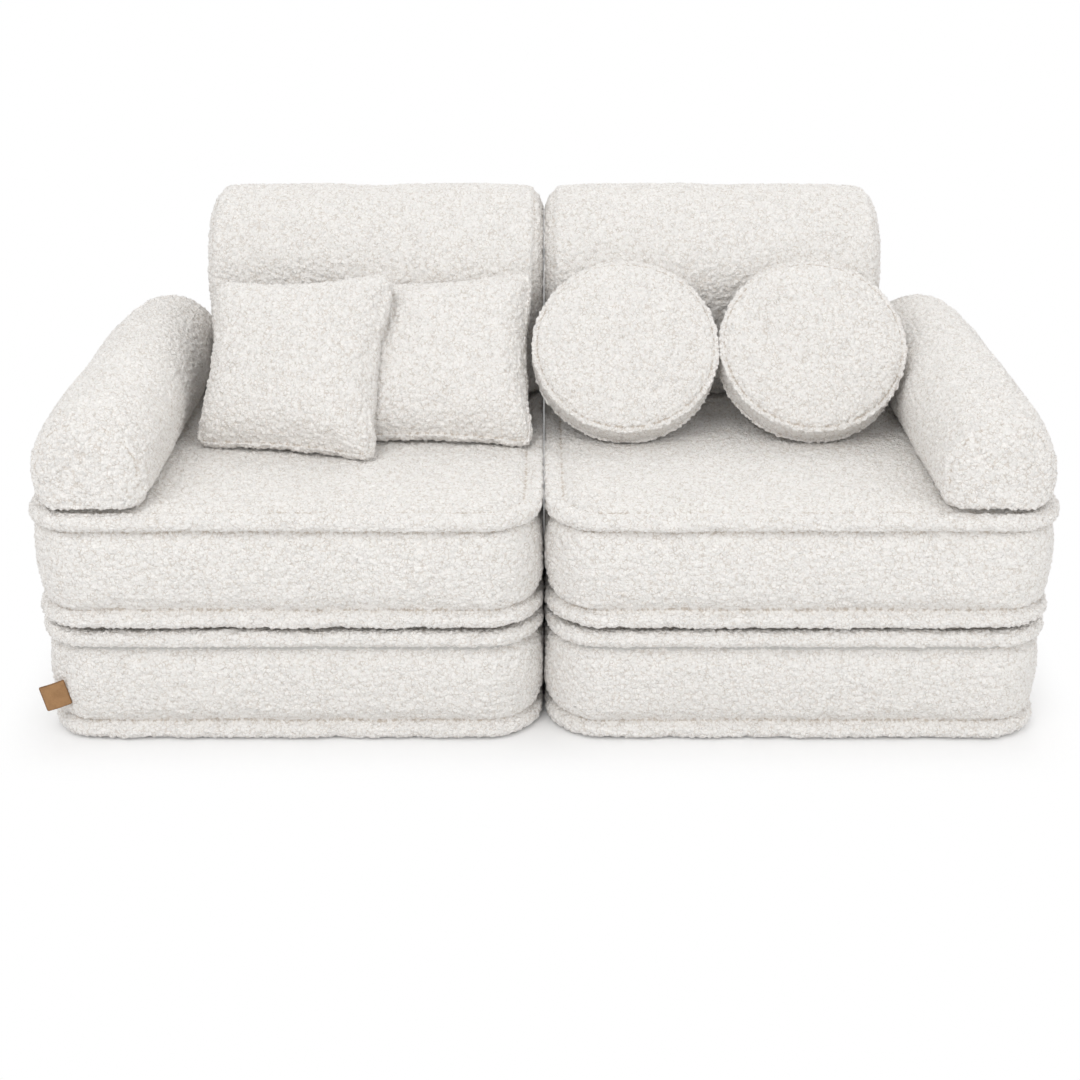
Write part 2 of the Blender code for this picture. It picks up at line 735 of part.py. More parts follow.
def square_pillow(name, x, lean, yaw, roll, rests, rear_gap):
    """A square pillow: cover, filling, zip and slider."""
    cover = square_form(name + "_cover", 0, PILLOW_RING_SHARES, "boucle")
    filling = square_form(name + "_filling", PILLOW_FILLING_INSET, FILLING_RING_SHARES, "fibre")
    cavity = square_form(name + "_cavity", PILLOW_FILLING_INSET - FIT_GAP, FILLING_RING_SHARES)
    drop_share = 2 * (PILLOW_ZIP_DROP + ZIP_WIDTH / 2) / SQUARE_SIDE
    surface = crown_height(drop_share, SQUARE_THICKNESS, SQUARE_EDGE)
    tape, slot, slider = pillow_zip(name, surface)
    pieces = (cover, filling, cavity, tape, slot, slider)
    lean_on(cover, pieces, x, lean, yaw, roll, rests, rear_gap)
    cut(cover, cavity)
    cut(cover, slot)


def round_pillow(name, x):
    """A round boxed pillow: cover, filling, zip and slider."""
    upper = round_half_profile()
    lower = [(radius, -height) for radius, height in reversed(upper)]
    cover = turned(name + "_cover", upper + lower, "boucle")
    filling = round_filling(name + "_filling", 0, "fibre")
    cavity = round_filling(name + "_cavity", FIT_GAP)
    surface = ROUND_BAND / 2 + ROUND_WELT
    tape, slot, slider = pillow_zip(name, surface)
    pieces = (cover, filling, cavity, tape, slot, slider)
    lean_on(cover, pieces, x, ROUND_LEAN_DEGREES, 0, 0, BACK_COVERS, TOUCH_GAP)
    cut(cover, cavity)
    cut(cover, slot)


def leather_tag(name):
    """Leather tag that stands out of the corner seam of the left lower block."""
    seam = math.radians(TAG_SEAM_DEGREES)
    half_facet = math.radians(45) / CORNER_STEPS
    reach = (PLAN_CORNER_RADIUS - WALL_BULGE_INSET) * math.cos(half_facet)
    seam_x = -SEAT_CENTRE_X - SEAT_WIDTH / 2 + PLAN_CORNER_RADIUS + reach * math.cos(seam)
    seam_y = FRONT_Y + PLAN_CORNER_RADIUS + reach * math.sin(seam)
    tag = box(
        name,
        (TAG_LENGTH, TAG_THICKNESS, TAG_HEIGHT),
        "leather",
        TAG_BEVEL,
        centre=((TAG_LENGTH + TAG_THICKNESS) / 2, 0, 0),
    )
    tag.matrix_world = (
        Matrix.Translation((seam_x, seam_y, TAG_RISE + TAG_HEIGHT / 2))
        @ Matrix.Rotation(math.radians(TAG_TURN_DEGREES), 4, "Z")
        @ Matrix.Rotation(math.radians(TAG_DROOP_DEGREES), 4, "Y")
    )


def main():
    """Build the sofa, module by module."""
    for side, label in zip((-1, 1), SIDE_LABELS):
        seat_block(f"seat_{label}_upper", side, upper=True)
        seat_block(f"seat_{label}_lower", side, upper=False)
        fold_seam(f"fold_seam_{label}", side)
        back_home = Matrix.Translation((
            side * (BACK_WIDTH + BACK_GAP) / 2,
            FRONT_Y + BACK_FRONT + BACK_THICKNESS / 2,
            SIT_Z,
        ))
        bolster(f"back_{label}", BACK_WIDTH, BACK_THICKNESS, BACK_HEIGHT, back_home)
        arm_home = Matrix.Translation((
            side * (ARM_INNER_X + ARM_THICKNESS / 2),
            FRONT_Y + ARM_FRONT + ARM_LENGTH / 2,
            SIT_Z,
        )) @ Matrix.Rotation(math.radians(-90 * side), 4, "Z")
        bolster(f"arm_{label}", ARM_LENGTH, ARM_THICKNESS, ARM_HEIGHT, arm_home)
    square_pillow(
        "square_pillow_inner",
        -SQUARE_INNER_PLACE,
        SQUARE_INNER_LEAN_DEGREES,
        -SQUARE_INNER_YAW_DEGREES,
        -SQUARE_INNER_ROLL_DEGREES,
        BACK_COVERS,
        DRAWN_SIDE_GAP,
    )
    square_pillow(
        "square_pillow_outer",
        -SQUARE_OUTER_PLACE,
        SQUARE_OUTER_LEAN_DEGREES,
        -SQUARE_OUTER_YAW_DEGREES,
        -SQUARE_OUTER_ROLL_DEGREES,
        (*BACK_COVERS, "square_pillow_inner_cover"),
        TOUCH_GAP,
    )
    round_pillow("round_pillow_inner", ROUND_INNER_PLACE)
    round_pillow("round_pillow_outer", ROUND_OUTER_PLACE)
    leather_tag("leather_tag")


main()
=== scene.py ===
"""Looks of the modular foam play sofa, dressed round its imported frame.

Two seat modules of stacked foam blocks carry half-round backs, half-round arms and two
pairs of pillows, all in a cream teddy boucle. Every cover is a closed skin that is puffed
by a cloth simulation between its seams and then given a nap of curls.

Metres, +Z up, the front towards -Y, in the frame's own place.
"""

import json
import logging
import math
from collections.abc import Callable, Sequence
from dataclasses import dataclass, field
from enum import Enum

import bmesh
import bpy
import numpy as np
from mathutils import Matrix, Vector, noise

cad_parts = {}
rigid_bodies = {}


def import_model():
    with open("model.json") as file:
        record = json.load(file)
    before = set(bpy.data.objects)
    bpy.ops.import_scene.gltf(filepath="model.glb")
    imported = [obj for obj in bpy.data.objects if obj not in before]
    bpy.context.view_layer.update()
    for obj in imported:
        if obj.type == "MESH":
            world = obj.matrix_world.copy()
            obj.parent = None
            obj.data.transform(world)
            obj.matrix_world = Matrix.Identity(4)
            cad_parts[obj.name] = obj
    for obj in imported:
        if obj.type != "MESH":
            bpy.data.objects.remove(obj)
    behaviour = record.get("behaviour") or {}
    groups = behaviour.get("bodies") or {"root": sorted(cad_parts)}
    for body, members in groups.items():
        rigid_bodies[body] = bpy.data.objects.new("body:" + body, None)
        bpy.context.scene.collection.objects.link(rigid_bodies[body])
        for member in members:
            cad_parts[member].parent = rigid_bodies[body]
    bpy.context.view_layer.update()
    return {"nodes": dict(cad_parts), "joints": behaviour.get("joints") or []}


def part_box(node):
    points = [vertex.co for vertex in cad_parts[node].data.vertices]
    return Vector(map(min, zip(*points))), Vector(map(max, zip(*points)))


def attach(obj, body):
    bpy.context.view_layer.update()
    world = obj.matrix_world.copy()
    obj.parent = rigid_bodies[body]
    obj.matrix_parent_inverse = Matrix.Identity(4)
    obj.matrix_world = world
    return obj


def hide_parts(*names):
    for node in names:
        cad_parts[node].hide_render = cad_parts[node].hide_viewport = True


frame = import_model()
LOG = logging.getLogger("sofa")

RIGHT_ANGLE = math.pi / 2
CURL = 0.0056  # size of a clump of curls, in the cover's colour and in its form
CURL_DRIFT = (240.0, 0.0042)  # scale and reach of the noise that pushes the clumps about
CURL_SOFTNESS = 0.35  # how far the clumps run into one another
MEETING_ROOM = 0.0004  # kept free on each side of a plane where soft pieces meet
ROLL_AWAY = 0.02  # distance from a wall seam that stands for a block's rolled edge
ZIP_BED = 0.0022  # depth of a zip's channel below the face of its tapes
SLIDER_REACH = 0.018  # how far past its travel a slider and its pull stand
CHANNEL_EDGE = 0.0106  # half width of the channel that a slider runs in
CHANNEL_SLOPE = 0.0034  # width of the channel's sloping sides
CHANNEL_FLOOR = -0.0024  # its floor, outward from the slider's middle
CHANNEL_SKIN = -0.009  # points deeper than this belong to another part of the cover
ALONG_X = Matrix(((0, 0, 1), (1, 0, 0), (0, 1, 0))).to_4x4()
UPRIGHT = Matrix(((1, 0, 0), (0, 0, -1), (0, 1, 0))).to_4x4()
Lift = Callable[[np.ndarray, np.ndarray, np.ndarray], np.ndarray]


class Slot(Enum):
    """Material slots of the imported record."""

    BOUCLE = "boucle"
    FOAM = "foam"
    FIBRE = "fibre"
    ZIP = "zip"
    SLIDER = "slider"
    LEATHER = "leather"


class Side(Enum):
    """Which half of the sofa a piece stands on, as the sign of X."""

    LEFT = -1
    RIGHT = 1

    @property
    def label(self) -> str:
        """Lower-case name that the frame's nodes use."""
        return self.name.lower()


class Level(Enum):
    """Which block of a module: its zip runs along the rear above and the front below."""

    LOWER = 1
    UPPER = -1

    @property
    def label(self) -> str:
        """Lower-case name that the frame's nodes use."""
        return self.name.lower()


# ---------------------------------------------------------------------------------------
# Node wiring


class Bench:
    """Adds and wires the nodes of one tree."""

    def __init__(self, tree: bpy.types.NodeTree) -> None:
        """Keep the tree.

        Args:
            tree: Tree that the nodes go into.
        """
        self.tree = tree

    def add(self, kind: str, wires: dict | None = None, **settings: object) -> bpy.types.Node:
        """Add one node.

        Args:
            kind: Node type.
            wires: Input socket name or index to a value or to the socket that feeds it.
            **settings: Attributes of the node, set before its inputs.

        Returns:
            The new node.
        """
        node = self.tree.nodes.new(kind)
        for key, value in settings.items():
            setattr(node, key, value)
        for key, value in (wires or {}).items():
            if isinstance(value, bpy.types.NodeSocket):
                self.tree.links.new(value, node.inputs[key])
            else:
                node.inputs[key].default_value = value
        return node

    def sum(self, operation: str, first: object, second: object = 0.0) -> bpy.types.NodeSocket:
        """Add a Math node.

        Args:
            operation: Math operation.
            first: First value or socket.
            second: Second value or socket.

        Returns:
            The result's socket.
        """
        node = self.add("ShaderNodeMath", {0: first, 1: second}, operation=operation)
        return node.outputs[0]

    def span(self, value: object, low: float, high: float, ends: tuple[float, float]) -> object:
        """Add a smooth Map Range node.

        Args:
            value: Socket to map.
            low: Value that becomes the first end.
            high: Value that becomes the second end.
            ends: The two results.

        Returns:
            The result's socket.
        """
        wires = {0: value, 1: low, 2: high, 3: ends[0], 4: ends[1]}
        return self.add("ShaderNodeMapRange", wires, interpolation_type="SMOOTHSTEP").outputs[0]

    def warped(self, place: object, scale: float, reach: float) -> bpy.types.NodeSocket:
        """Push a place about with noise.

        Args:
            place: Socket of the place.
            scale: Scale of the noise.
            reach: How far it pushes.

        Returns:
            Socket of the pushed place.
        """
        cloud = self.add("ShaderNodeTexNoise", {"Vector": place, "Scale": scale, "Detail": 1.0})
        centred = self.add(
            "ShaderNodeVectorMath",
            {0: cloud.outputs["Color"], 1: (0.5, 0.5, 0.5)},
            operation="SUBTRACT",
        )
        small = self.add(
            "ShaderNodeVectorMath", {0: centred.outputs[0], "Scale": reach}, operation="SCALE"
        )
        moved = self.add("ShaderNodeVectorMath", {0: place, 1: small.outputs[0]})
        return moved.outputs[0]

    def cells(self, place: object, scale: object, soft: float = 0.0) -> bpy.types.NodeSocket:
        """Add a Voronoi texture.

        Args:
            place: Socket of the place.
            scale: Cells in a metre, a value or a socket.
            soft: Smoothness, or zero for plain cells.

        Returns:
            Socket of the distance to the nearest cell's middle.
        """
        wires = {"Vector": place, "Scale": scale}
        feature = "SMOOTH_F1" if soft else "F1"
        if soft:
            wires["Smoothness"] = soft
        return self.add("ShaderNodeTexVoronoi", wires, feature=feature).outputs["Distance"]


@dataclass(frozen=True)
class Finish:
    """A material made of nodes.

    Attributes:
        title: Name of the material.
        tone: Main colour, linear.
        shade: Second colour, linear: painted shade in hollows for boucle, tape and foam, else a
            darker tone.
        roughness: Roughness.
        specular: Specular level.
        sheen: Weight of the fuzz sheen.
        metal: Metallic share.
    """

    title: str
    tone: tuple[float, float, float]
    shade: tuple[float, float, float]
    roughness: float = 0.9
    specular: float = 0.3
    sheen: float = 0.0
    metal: float = 0.0

    def material(self) -> bpy.types.Material:
        """The material, made once.

        Returns:
            The material.
        """
        made = bpy.data.materials.get(self.title)
        if made:
            return made
        made = bpy.data.materials.new(self.title)
        made.use_nodes = True
        made.node_tree.nodes.clear()
        bench = Bench(made.node_tree)
        place = bench.add("ShaderNodeTexCoord").outputs["Object"]
        mix, height, strength, distance = self.pattern(bench, place)
        bump = bench.add(
            "ShaderNodeBump", {"Height": height, "Strength": strength, "Distance": distance}
        )
        wires = {"Factor": mix, 6: (*self.tone, 1.0), 7: (*self.shade, 1.0)}
        colour = bench.add("ShaderNodeMix", wires, data_type="RGBA")
        shader = bench.add(
            "ShaderNodeBsdfPrincipled",
            {
                "Base Color": colour.outputs[2],
                "Roughness": self.roughness,
                "Specular IOR Level": self.specular,
                "Metallic": self.metal,
                "Sheen Weight": self.sheen,
                "Sheen Roughness": 0.6,
                "Normal": bump.outputs[0],
            },
        )
        bench.add("ShaderNodeOutputMaterial", {"Surface": shader.outputs[0]})
        made.diffuse_color = (*self.tone, 1.0)
        return made

    def pattern(self, bench: Bench, place: bpy.types.NodeSocket) -> tuple:
        """Wire the finish's own pattern.

        Args:
            bench: Bench of the material's tree.
            place: Socket of the place on the piece.

        Returns:
            Socket of the share of the shade colour, socket of the height, bump strength
            and bump distance.
        """
        cloud = bench.add("ShaderNodeTexNoise", {"Vector": place, "Scale": 300.0})
        return bench.span(cloud.outputs[0], 0.3, 0.8, (0.0, 1.0)), cloud.outputs[0], 0.2, 0.0005


@dataclass(frozen=True)
class BoucleFinish(Finish):
    """Teddy boucle: clumps of curled yarn, with warm shade painted into the hollows between them
    and along the seams.

    Attributes:
        curl: Size of a clump.
        loop: Size of a loop of yarn in it.
    """

    curl: float = CURL
    loop: float = 0.0023

    def pattern(self, bench: Bench, place: bpy.types.NodeSocket) -> tuple:
        """Wire clumps and loops, with painted shade in their hollows and a painted shadow along the
        seams.

        Args:
            bench: Bench of the material's tree.
            place: Socket of the place on the piece; not used.

        Returns:
            Share of the shade colour, height, bump strength and bump distance.
        """
        base = bench.add("ShaderNodeAttribute", attribute_name="nap_place").outputs["Vector"]
        pushed = bench.warped(base, *CURL_DRIFT)
        clump = bench.cells(pushed, 1 / self.curl, CURL_SOFTNESS)
        curled = bench.warped(base, 520.0, 0.0026)
        loop = bench.cells(curled, 1 / self.loop)
        height = bench.sum("SUBTRACT", bench.sum("MULTIPLY", loop, -0.60), clump)
        drift = bench.add("ShaderNodeTexNoise", {"Vector": base, "Scale": 150.0}).outputs[0]
        patch = bench.span(drift, 0.36, 0.66, (0.15, 1.0))
        edges = bench.add(
            "ShaderNodeTexVoronoi",
            {"Vector": pushed, "Scale": 1 / self.curl},
            feature="DISTANCE_TO_EDGE",
        )
        # Painted shade: the hollows between clumps and the pits between loops are darkened toward
        # the warm shade colour, in patches.
        hollow = bench.span(edges.outputs["Distance"], 0.02, 0.17, (0.62, 0.0))
        pit = bench.span(loop, 0.55, 0.95, (0.0, 0.16))
        deep = bench.sum("MULTIPLY", bench.sum("ADD", hollow, pit), patch)
        # Painted shadow: a broken dark line along each seam, taken from the seam mark.
        seam = bench.add("ShaderNodeAttribute", attribute_name="seam").outputs["Fac"]
        broken = bench.span(drift, 0.40, 0.60, (0.15, 0.75))
        seam_shadow = bench.sum("MULTIPLY", bench.span(seam, 0.35, 1.0, (0.0, 1.0)), broken)
        total = bench.sum("ADD", deep, seam_shadow)
        return bench.sum("MINIMUM", total, 1.0), height, 1.0, 0.0028


@dataclass(frozen=True)
class FoamFinish(Finish):
    """Open-cell foam or fibre filling.

    Attributes:
        pore: Size of a pore or a tuft.
    """

    pore: float = 0.0016

    def pattern(self, bench: Bench, place: bpy.types.NodeSocket) -> tuple:
        """Wire pores of two sizes, with painted shade in them.

        Args:
            bench: Bench of the material's tree.
            place: Socket of the place on the piece.

        Returns:
            Share of the shade colour, height, bump strength and bump distance.
        """
        large = bench.cells(place, 1 / self.pore)
        small = bench.cells(place, 2.3 / self.pore)
        height = bench.sum("ADD", large, bench.sum("MULTIPLY", small, 0.5))
        # Painted shade: darker in the pores.
        return bench.span(height, 0.1, 0.9, (0.8, 0.0)), height, 0.5, 0.0006


@dataclass(frozen=True)
class TapeFinish(Finish):
    """Woven zip tape, its threads crossing at right angles.

    Attributes:
        thread: Pitch of the threads.
    """

    thread: float = 0.0007

    def pattern(self, bench: Bench, place: bpy.types.NodeSocket) -> tuple:
        """Wire a fine weave, with painted shade where it sinks.

        Args:
            bench: Bench of the material's tree.
            place: Socket of the place on the piece.

        Returns:
            Share of the shade colour, height, bump strength and bump distance.
        """
        pushed = bench.warped(place, 400.0, 0.0003)
        scale = math.tau / self.thread
        apart = bench.add("ShaderNodeSeparateXYZ", {0: pushed})
        waves = [
            bench.sum("SINE", bench.sum("MULTIPLY", apart.outputs[axis], scale))
            for axis in range(3)
        ]
        height = bench.sum("ADD", bench.sum("MULTIPLY", waves[0], waves[2]), waves[1])
        # Painted shade: darker where the weave sinks between threads.
        return bench.span(height, -1.0, 1.0, (0.5, 0.0)), height, 0.35, 0.0002


@dataclass(frozen=True)
class LeatherFinish(Finish):
    """Matt tan leather with a fine grain and worn, darker edges.

    Attributes:
        grain: Size of a grain cell.
    """

    grain: float = 0.0011

    def pattern(self, bench: Bench, place: bpy.types.NodeSocket) -> tuple:
        """Wire grain, clouding and the edge's wear.

        Args:
            bench: Bench of the material's tree.
            place: Socket of the place on the piece.

        Returns:
            Share of the shade colour, height, bump strength and bump distance.
        """
        pushed = bench.warped(place, 900.0, 0.0006)
        grain = bench.cells(pushed, 1 / self.grain, 0.2)
        cloud = bench.add("ShaderNodeTexNoise", {"Vector": place, "Scale": 90.0, "Detail": 4.0})
        tint = bench.span(cloud.outputs[0], 0.3, 0.75, (0.0, 0.35))
        rim = bench.add("ShaderNodeAttribute", attribute_name="seam").outputs["Fac"]
        worn = bench.sum("MULTIPLY", rim, 0.65)
        pit = bench.span(grain, 0.4, 0.9, (0.0, 0.2))
        total = bench.sum("ADD", bench.sum("ADD", tint, worn), pit)
        return bench.sum("MINIMUM", total, 1.0), grain, 0.35, 0.0004


# The boucle's second colour is the warm shade painted into its hollows and along its seams.
BOUCLE = BoucleFinish(
    "cream_boucle", (0.950, 0.928, 0.900), (0.62, 0.55, 0.48), 1.0, 0.1, 0.12
)
FOAM = FoamFinish("open_cell_foam", (0.86, 0.80, 0.62), (0.62, 0.55, 0.38))
FIBRE = FoamFinish("fibre_filling", (0.90, 0.90, 0.88), (0.70, 0.70, 0.68), pore=0.006)
TAPE = TapeFinish("zip_tape", (0.70, 0.69, 0.67), (0.45, 0.44, 0.42), 0.65, 0.35)
COIL = Finish("zip_coil", (0.60, 0.59, 0.57), (0.42, 0.41, 0.39), 0.35, 0.5)
METAL = Finish("satin_metal", (0.62, 0.62, 0.60), (0.40, 0.40, 0.39), 0.30, 0.5, metal=0.9)
THREAD = Finish("sewing_thread", (0.80, 0.78, 0.74), (0.55, 0.53, 0.50), 0.7, 0.3)
LEATHER = LeatherFinish("tan_leather", (0.37, 0.205, 0.09), (0.17, 0.085, 0.035), 0.62, 0.35)


# ---------------------------------------------------------------------------------------
# Shapes in numbers


def arc(centre: Sequence[float], radius: float, start: float, stop: float) -> np.ndarray:
    """Points along an arc with their outward normals.

    Args:
        centre: Middle of the arc.
        radius: Its radius.
        start: First angle in degrees.
        stop: Last angle in degrees.

    Returns:
        Rows of place and normal.
    """
    angles = np.radians(np.linspace(start, stop, 25))
    normals = np.stack((np.cos(angles), np.sin(angles)), axis=1)
    return np.hstack((np.asarray(centre) + radius * normals, normals))


def resample(line: np.ndarray, cells: int) -> np.ndarray:
    """Space points evenly along a line.

    Args:
        line: Rows whose first two columns are the place.
        cells: Number of steps.

    Returns:
        One row for each step, the line's last point left out.
    """
    steps = np.linalg.norm(np.diff(line[:, :2], axis=0), axis=1)
    reach = np.concatenate(([0.0], np.cumsum(steps)))
    wanted = np.linspace(0.0, reach[-1], cells + 1)[:-1]
    columns = [np.interp(wanted, reach, line[:, column]) for column in range(line.shape[1])]
    return np.stack(columns, axis=1)


def round_rectangle(x: float, y: float, radius: float, cells: Sequence[int]) -> np.ndarray:
    """Round-cornered outline, started at the middle of its first corner.

    Args:
        x: Place of the corners' middles along X.
        y: Place of the corners' middles along Y.
        radius: Radius of the corners.
        cells: Cells along each side.

    Returns:
        Rows of place and outward normal.
    """
    corners = ((-x, -y), (x, -y), (x, y), (-x, y))
    sides = []
    for number, count in enumerate(cells):
        start = 225 + 90 * number
        first = arc(corners[number], radius, start, start + 45)
        last = arc(corners[(number + 1) % 4], radius, start + 45, start + 90)
        sides.append(resample(np.vstack((first, last)), count))
    return np.vstack(sides)


def smooth_noise(points: np.ndarray, size: float, seed: float) -> np.ndarray:
    """Noise at places, from about -1 to 1.

    Args:
        points: Places.
        size: Size of its lumps.
        seed: Shift that tells one field from another.

    Returns:
        One value for each place.
    """
    shift = Vector((seed * 7.31, seed * 3.17, seed * 5.77))
    return np.array([noise.noise(Vector(point) / size + shift) for point in points])


def no_lift(points: np.ndarray, across: np.ndarray, along: np.ndarray) -> np.ndarray:
    """Flat panel.

    Args:
        points: Places in the panel.
        across: Shares of the way across; not used.
        along: Shares of the way along; not used.

    Returns:
        Zero for each place.
    """
    return np.zeros(len(points))


def dome(across: np.ndarray, along: np.ndarray) -> np.ndarray:
    """Swell of a panel, from 0 at its edge to 1 in its middle.

    Args:
        across: Shares of the way across.
        along: Shares of the way along.

    Returns:
        One value for each place.
    """
    return 16 * across * (1 - across) * along * (1 - along)


@dataclass
class Skin:
    """Closed quad skin: a stack of rings with a gridded panel over each end.

    Attributes:
        across: Cells along a panel's first side.
        along: Cells along its second side.
        rings: Rings from the bottom up, anticlockwise seen from above, the axis last.
        near: Closeness of each ring's points to a seam, from 0 to 1.
    """

    across: int
    along: int
    rings: list[np.ndarray] = field(default_factory=list)
    near: list[np.ndarray] = field(default_factory=list)

    @property
    def around(self) -> int:
        """Points in a ring."""
        return 2 * (self.across + self.along)

    def add(
        self, places: np.ndarray, height: np.ndarray | float, near: np.ndarray | float = 0.0
    ) -> None:
        """Add a ring above the others.

        Args:
            places: Its places across the axis.
            height: Its place along the axis, one for all points or one for each.
            near: Closeness to a seam, one for all points or one for each.
        """
        self.rings.append(np.column_stack((places, np.broadcast_to(height, len(places)))))
        self.near.append(np.broadcast_to(near, len(places)))

    def panel(self, ring: np.ndarray, lift: Lift) -> np.ndarray:
        """Fill a ring with a grid.

        Args:
            ring: Ring whose first point is a corner of the grid.
            lift: Height added at each inner point.

        Returns:
            Inner points of the grid, row by row.
        """
        closed = np.vstack((ring, ring[:1]))
        first, second = self.across, self.across + self.along
        south = closed[: first + 1]
        east = closed[first : second + 1]
        north = closed[second : second + self.across + 1][::-1]
        west = closed[second + self.across :][::-1]
        u = np.linspace(0, 1, self.across + 1)[1:-1, None, None]
        v = np.linspace(0, 1, self.along + 1)[None, 1:-1, None]
        inner = (1 - v) * south[1:-1, None] + v * north[1:-1, None]
        inner = inner + (1 - u) * west[None, 1:-1] + u * east[None, 1:-1]
        inner = inner - (1 - u) * (1 - v) * south[0] - u * (1 - v) * south[-1]
        inner = inner - (1 - u) * v * north[0] - u * v * north[-1]
        points = inner.reshape(-1, 3)
        shares_u = np.broadcast_to(u[..., 0], inner.shape[:2]).ravel()
        shares_v = np.broadcast_to(v[..., 0], inner.shape[:2]).ravel()
        points[:, 2] += lift(points, shares_u, shares_v)
        return points

    def grid_index(self, ring_start: int, inner_start: int) -> np.ndarray:
        """Vertex numbers of a panel's grid, its edge taken from a ring.

        Args:
            ring_start: Number of the ring's first vertex.
            inner_start: Number of the first inner vertex.

        Returns:
            Array of numbers, across by along.
        """
        grid = np.empty((self.across + 1, self.along + 1), int)
        count = np.arange(self.around)
        first, second = self.across, self.across + self.along
        third = second + self.across
        grid[:, 0] = ring_start + count[: first + 1]
        grid[-1, :] = ring_start + count[first : second + 1]
        grid[:, -1] = ring_start + count[second : third + 1][::-1]
        grid[0, 1:] = ring_start + count[third:][::-1]
        inner = np.arange((self.across - 1) * (self.along - 1))
        grid[1:-1, 1:-1] = inner_start + inner.reshape(self.across - 1, self.along - 1)
        return grid

    def build(self, name: str, foot: Lift = no_lift, head: Lift = no_lift) -> bpy.types.Object:
        """Make the mesh.

        Args:
            name: Name of the object.
            foot: Height added inside the bottom panel.
            head: Height added inside the top panel.

        Returns:
            The object, with the attribute "seam" and its vertices in order: rings, bottom
            panel, top panel.
        """
        size = self.around
        low, high = self.panel(self.rings[0], foot), self.panel(self.rings[-1], head)
        points = np.vstack((*self.rings, low, high))
        faces: list[tuple[int, ...]] = []
        here = np.arange(size)
        after = np.roll(here, -1)
        for row in range(len(self.rings) - 1):
            start = row * size
            wall = (start + here, start + after, start + size + after, start + size + here)
            faces.extend(zip(*(part.tolist() for part in wall)))
        walls = len(self.rings) * size
        panels = ((0, walls, -1), (walls - size, walls + len(low), 1))
        for ring_start, inner_start, turn in panels:
            grid = self.grid_index(ring_start, inner_start)
            corners = [grid[:-1, :-1], grid[1:, :-1], grid[1:, 1:], grid[:-1, 1:]][::turn]
            faces.extend(zip(*(corner.ravel().tolist() for corner in corners)))
        mesh = bpy.data.meshes.new(name)
        mesh.from_pydata(points.tolist(), [], faces)
        mesh.shade_smooth()
        seam = np.zeros(len(points))
        seam[:walls] = np.concatenate(self.near)
        mark(mesh, "seam", seam)
        return add_object(name, mesh)


def both_ways(rows: Sequence[tuple]) -> list[tuple]:
    """Complete a section that is the same above its middle as below.

    Args:
        rows: Rows of its upper half from the panel to the middle, the height second.

    Returns:
        All rows from the bottom up.
    """
    return [(first, -height, *rest) for first, height, *rest in rows] + list(rows)[::-1]


def add_object(name: str, data: bpy.types.ID) -> bpy.types.Object:
    """Put a mesh, a light or a camera into the scene.

    Args:
        name: Name of the object.
        data: What it shows.

    Returns:
        The object.
    """
    obj = bpy.data.objects.new(name, data)
    bpy.context.scene.collection.objects.link(obj)
    return obj


def read_points(mesh: bpy.types.Mesh) -> np.ndarray:
    """Places of a mesh's vertices.

    Args:
        mesh: The mesh.

    Returns:
        One row for each vertex.
    """
    flat = np.empty(len(mesh.vertices) * 3, np.float32)
    mesh.vertices.foreach_get("co", flat)
    return flat.reshape(-1, 3).astype(float)


def write_points(mesh: bpy.types.Mesh, points: np.ndarray) -> None:
    """Move a mesh's vertices.

    Args:
        mesh: The mesh.
        points: One row for each vertex.
    """
    mesh.vertices.foreach_set("co", points.astype(np.float32).ravel())
    mesh.update()


def read_normals(mesh: bpy.types.Mesh) -> np.ndarray:
    """Vertex normals of a mesh.

    Args:
        mesh: The mesh.

    Returns:
        One row for each vertex.
    """
    flat = np.empty(len(mesh.vertices) * 3, np.float32)
    mesh.vertex_normals.foreach_get("vector", flat)
    return flat.reshape(-1, 3).astype(float)


def mark(mesh: bpy.types.Mesh, title: str, values: np.ndarray) -> None:
    """Write a number for each vertex.

    Args:
        mesh: The mesh.
        title: Name of the attribute.
        values: One value for each vertex.
    """
    attribute = mesh.attributes.get(title) or mesh.attributes.new(title, "FLOAT", "POINT")
    attribute.data.foreach_set("value", values.astype(np.float32))


def marked(mesh: bpy.types.Mesh, title: str) -> np.ndarray:
    """Read the numbers that mark wrote.

    Args:
        mesh: The mesh.
        title: Name of the attribute.

    Returns:
        One value for each vertex.
    """
    values = np.empty(len(mesh.vertices), np.float32)
    mesh.attributes[title].data.foreach_get("value", values)
    return values.astype(float)


def hold(obj: bpy.types.Object, chosen: np.ndarray) -> None:
    """Name the points that stay where they are while a cover swells.

    Args:
        obj: The cover.
        chosen: True for each vertex that is held.
    """
    held = obj.vertex_groups.new(name="held")
    held.add(np.flatnonzero(chosen).tolist(), 1.0, "REPLACE")


def settle(obj: bpy.types.Object) -> None:
    """Make an object's modifiers part of its mesh and remove them.

    Args:
        obj: The object.
    """
    depsgraph = bpy.context.evaluated_depsgraph_get()
    depsgraph.update()
    made = bpy.data.meshes.new_from_object(
        obj.evaluated_get(depsgraph), preserve_all_data_layers=True, depsgraph=depsgraph
    )
    obj.modifiers.clear()
    old = obj.data
    obj.data = made
    bpy.data.meshes.remove(old)


def keep_apart(obj: bpy.types.Object, side: int, axis: int = 0, plane: float = 0.0) -> None:
    """Keep a piece on its own side of a plane where two pieces meet.

    Args:
        obj: The piece, in its place.
        side: Sign of the side that it stays on.
        axis: Axis that the plane stands across.
        plane: Where the plane cuts that axis.
    """
    points = read_points(obj.data)
    away = (points[:, axis] - plane) * side
    points[:, axis] = plane + side * np.maximum(away, MEETING_ROOM)
    write_points(obj.data, points)


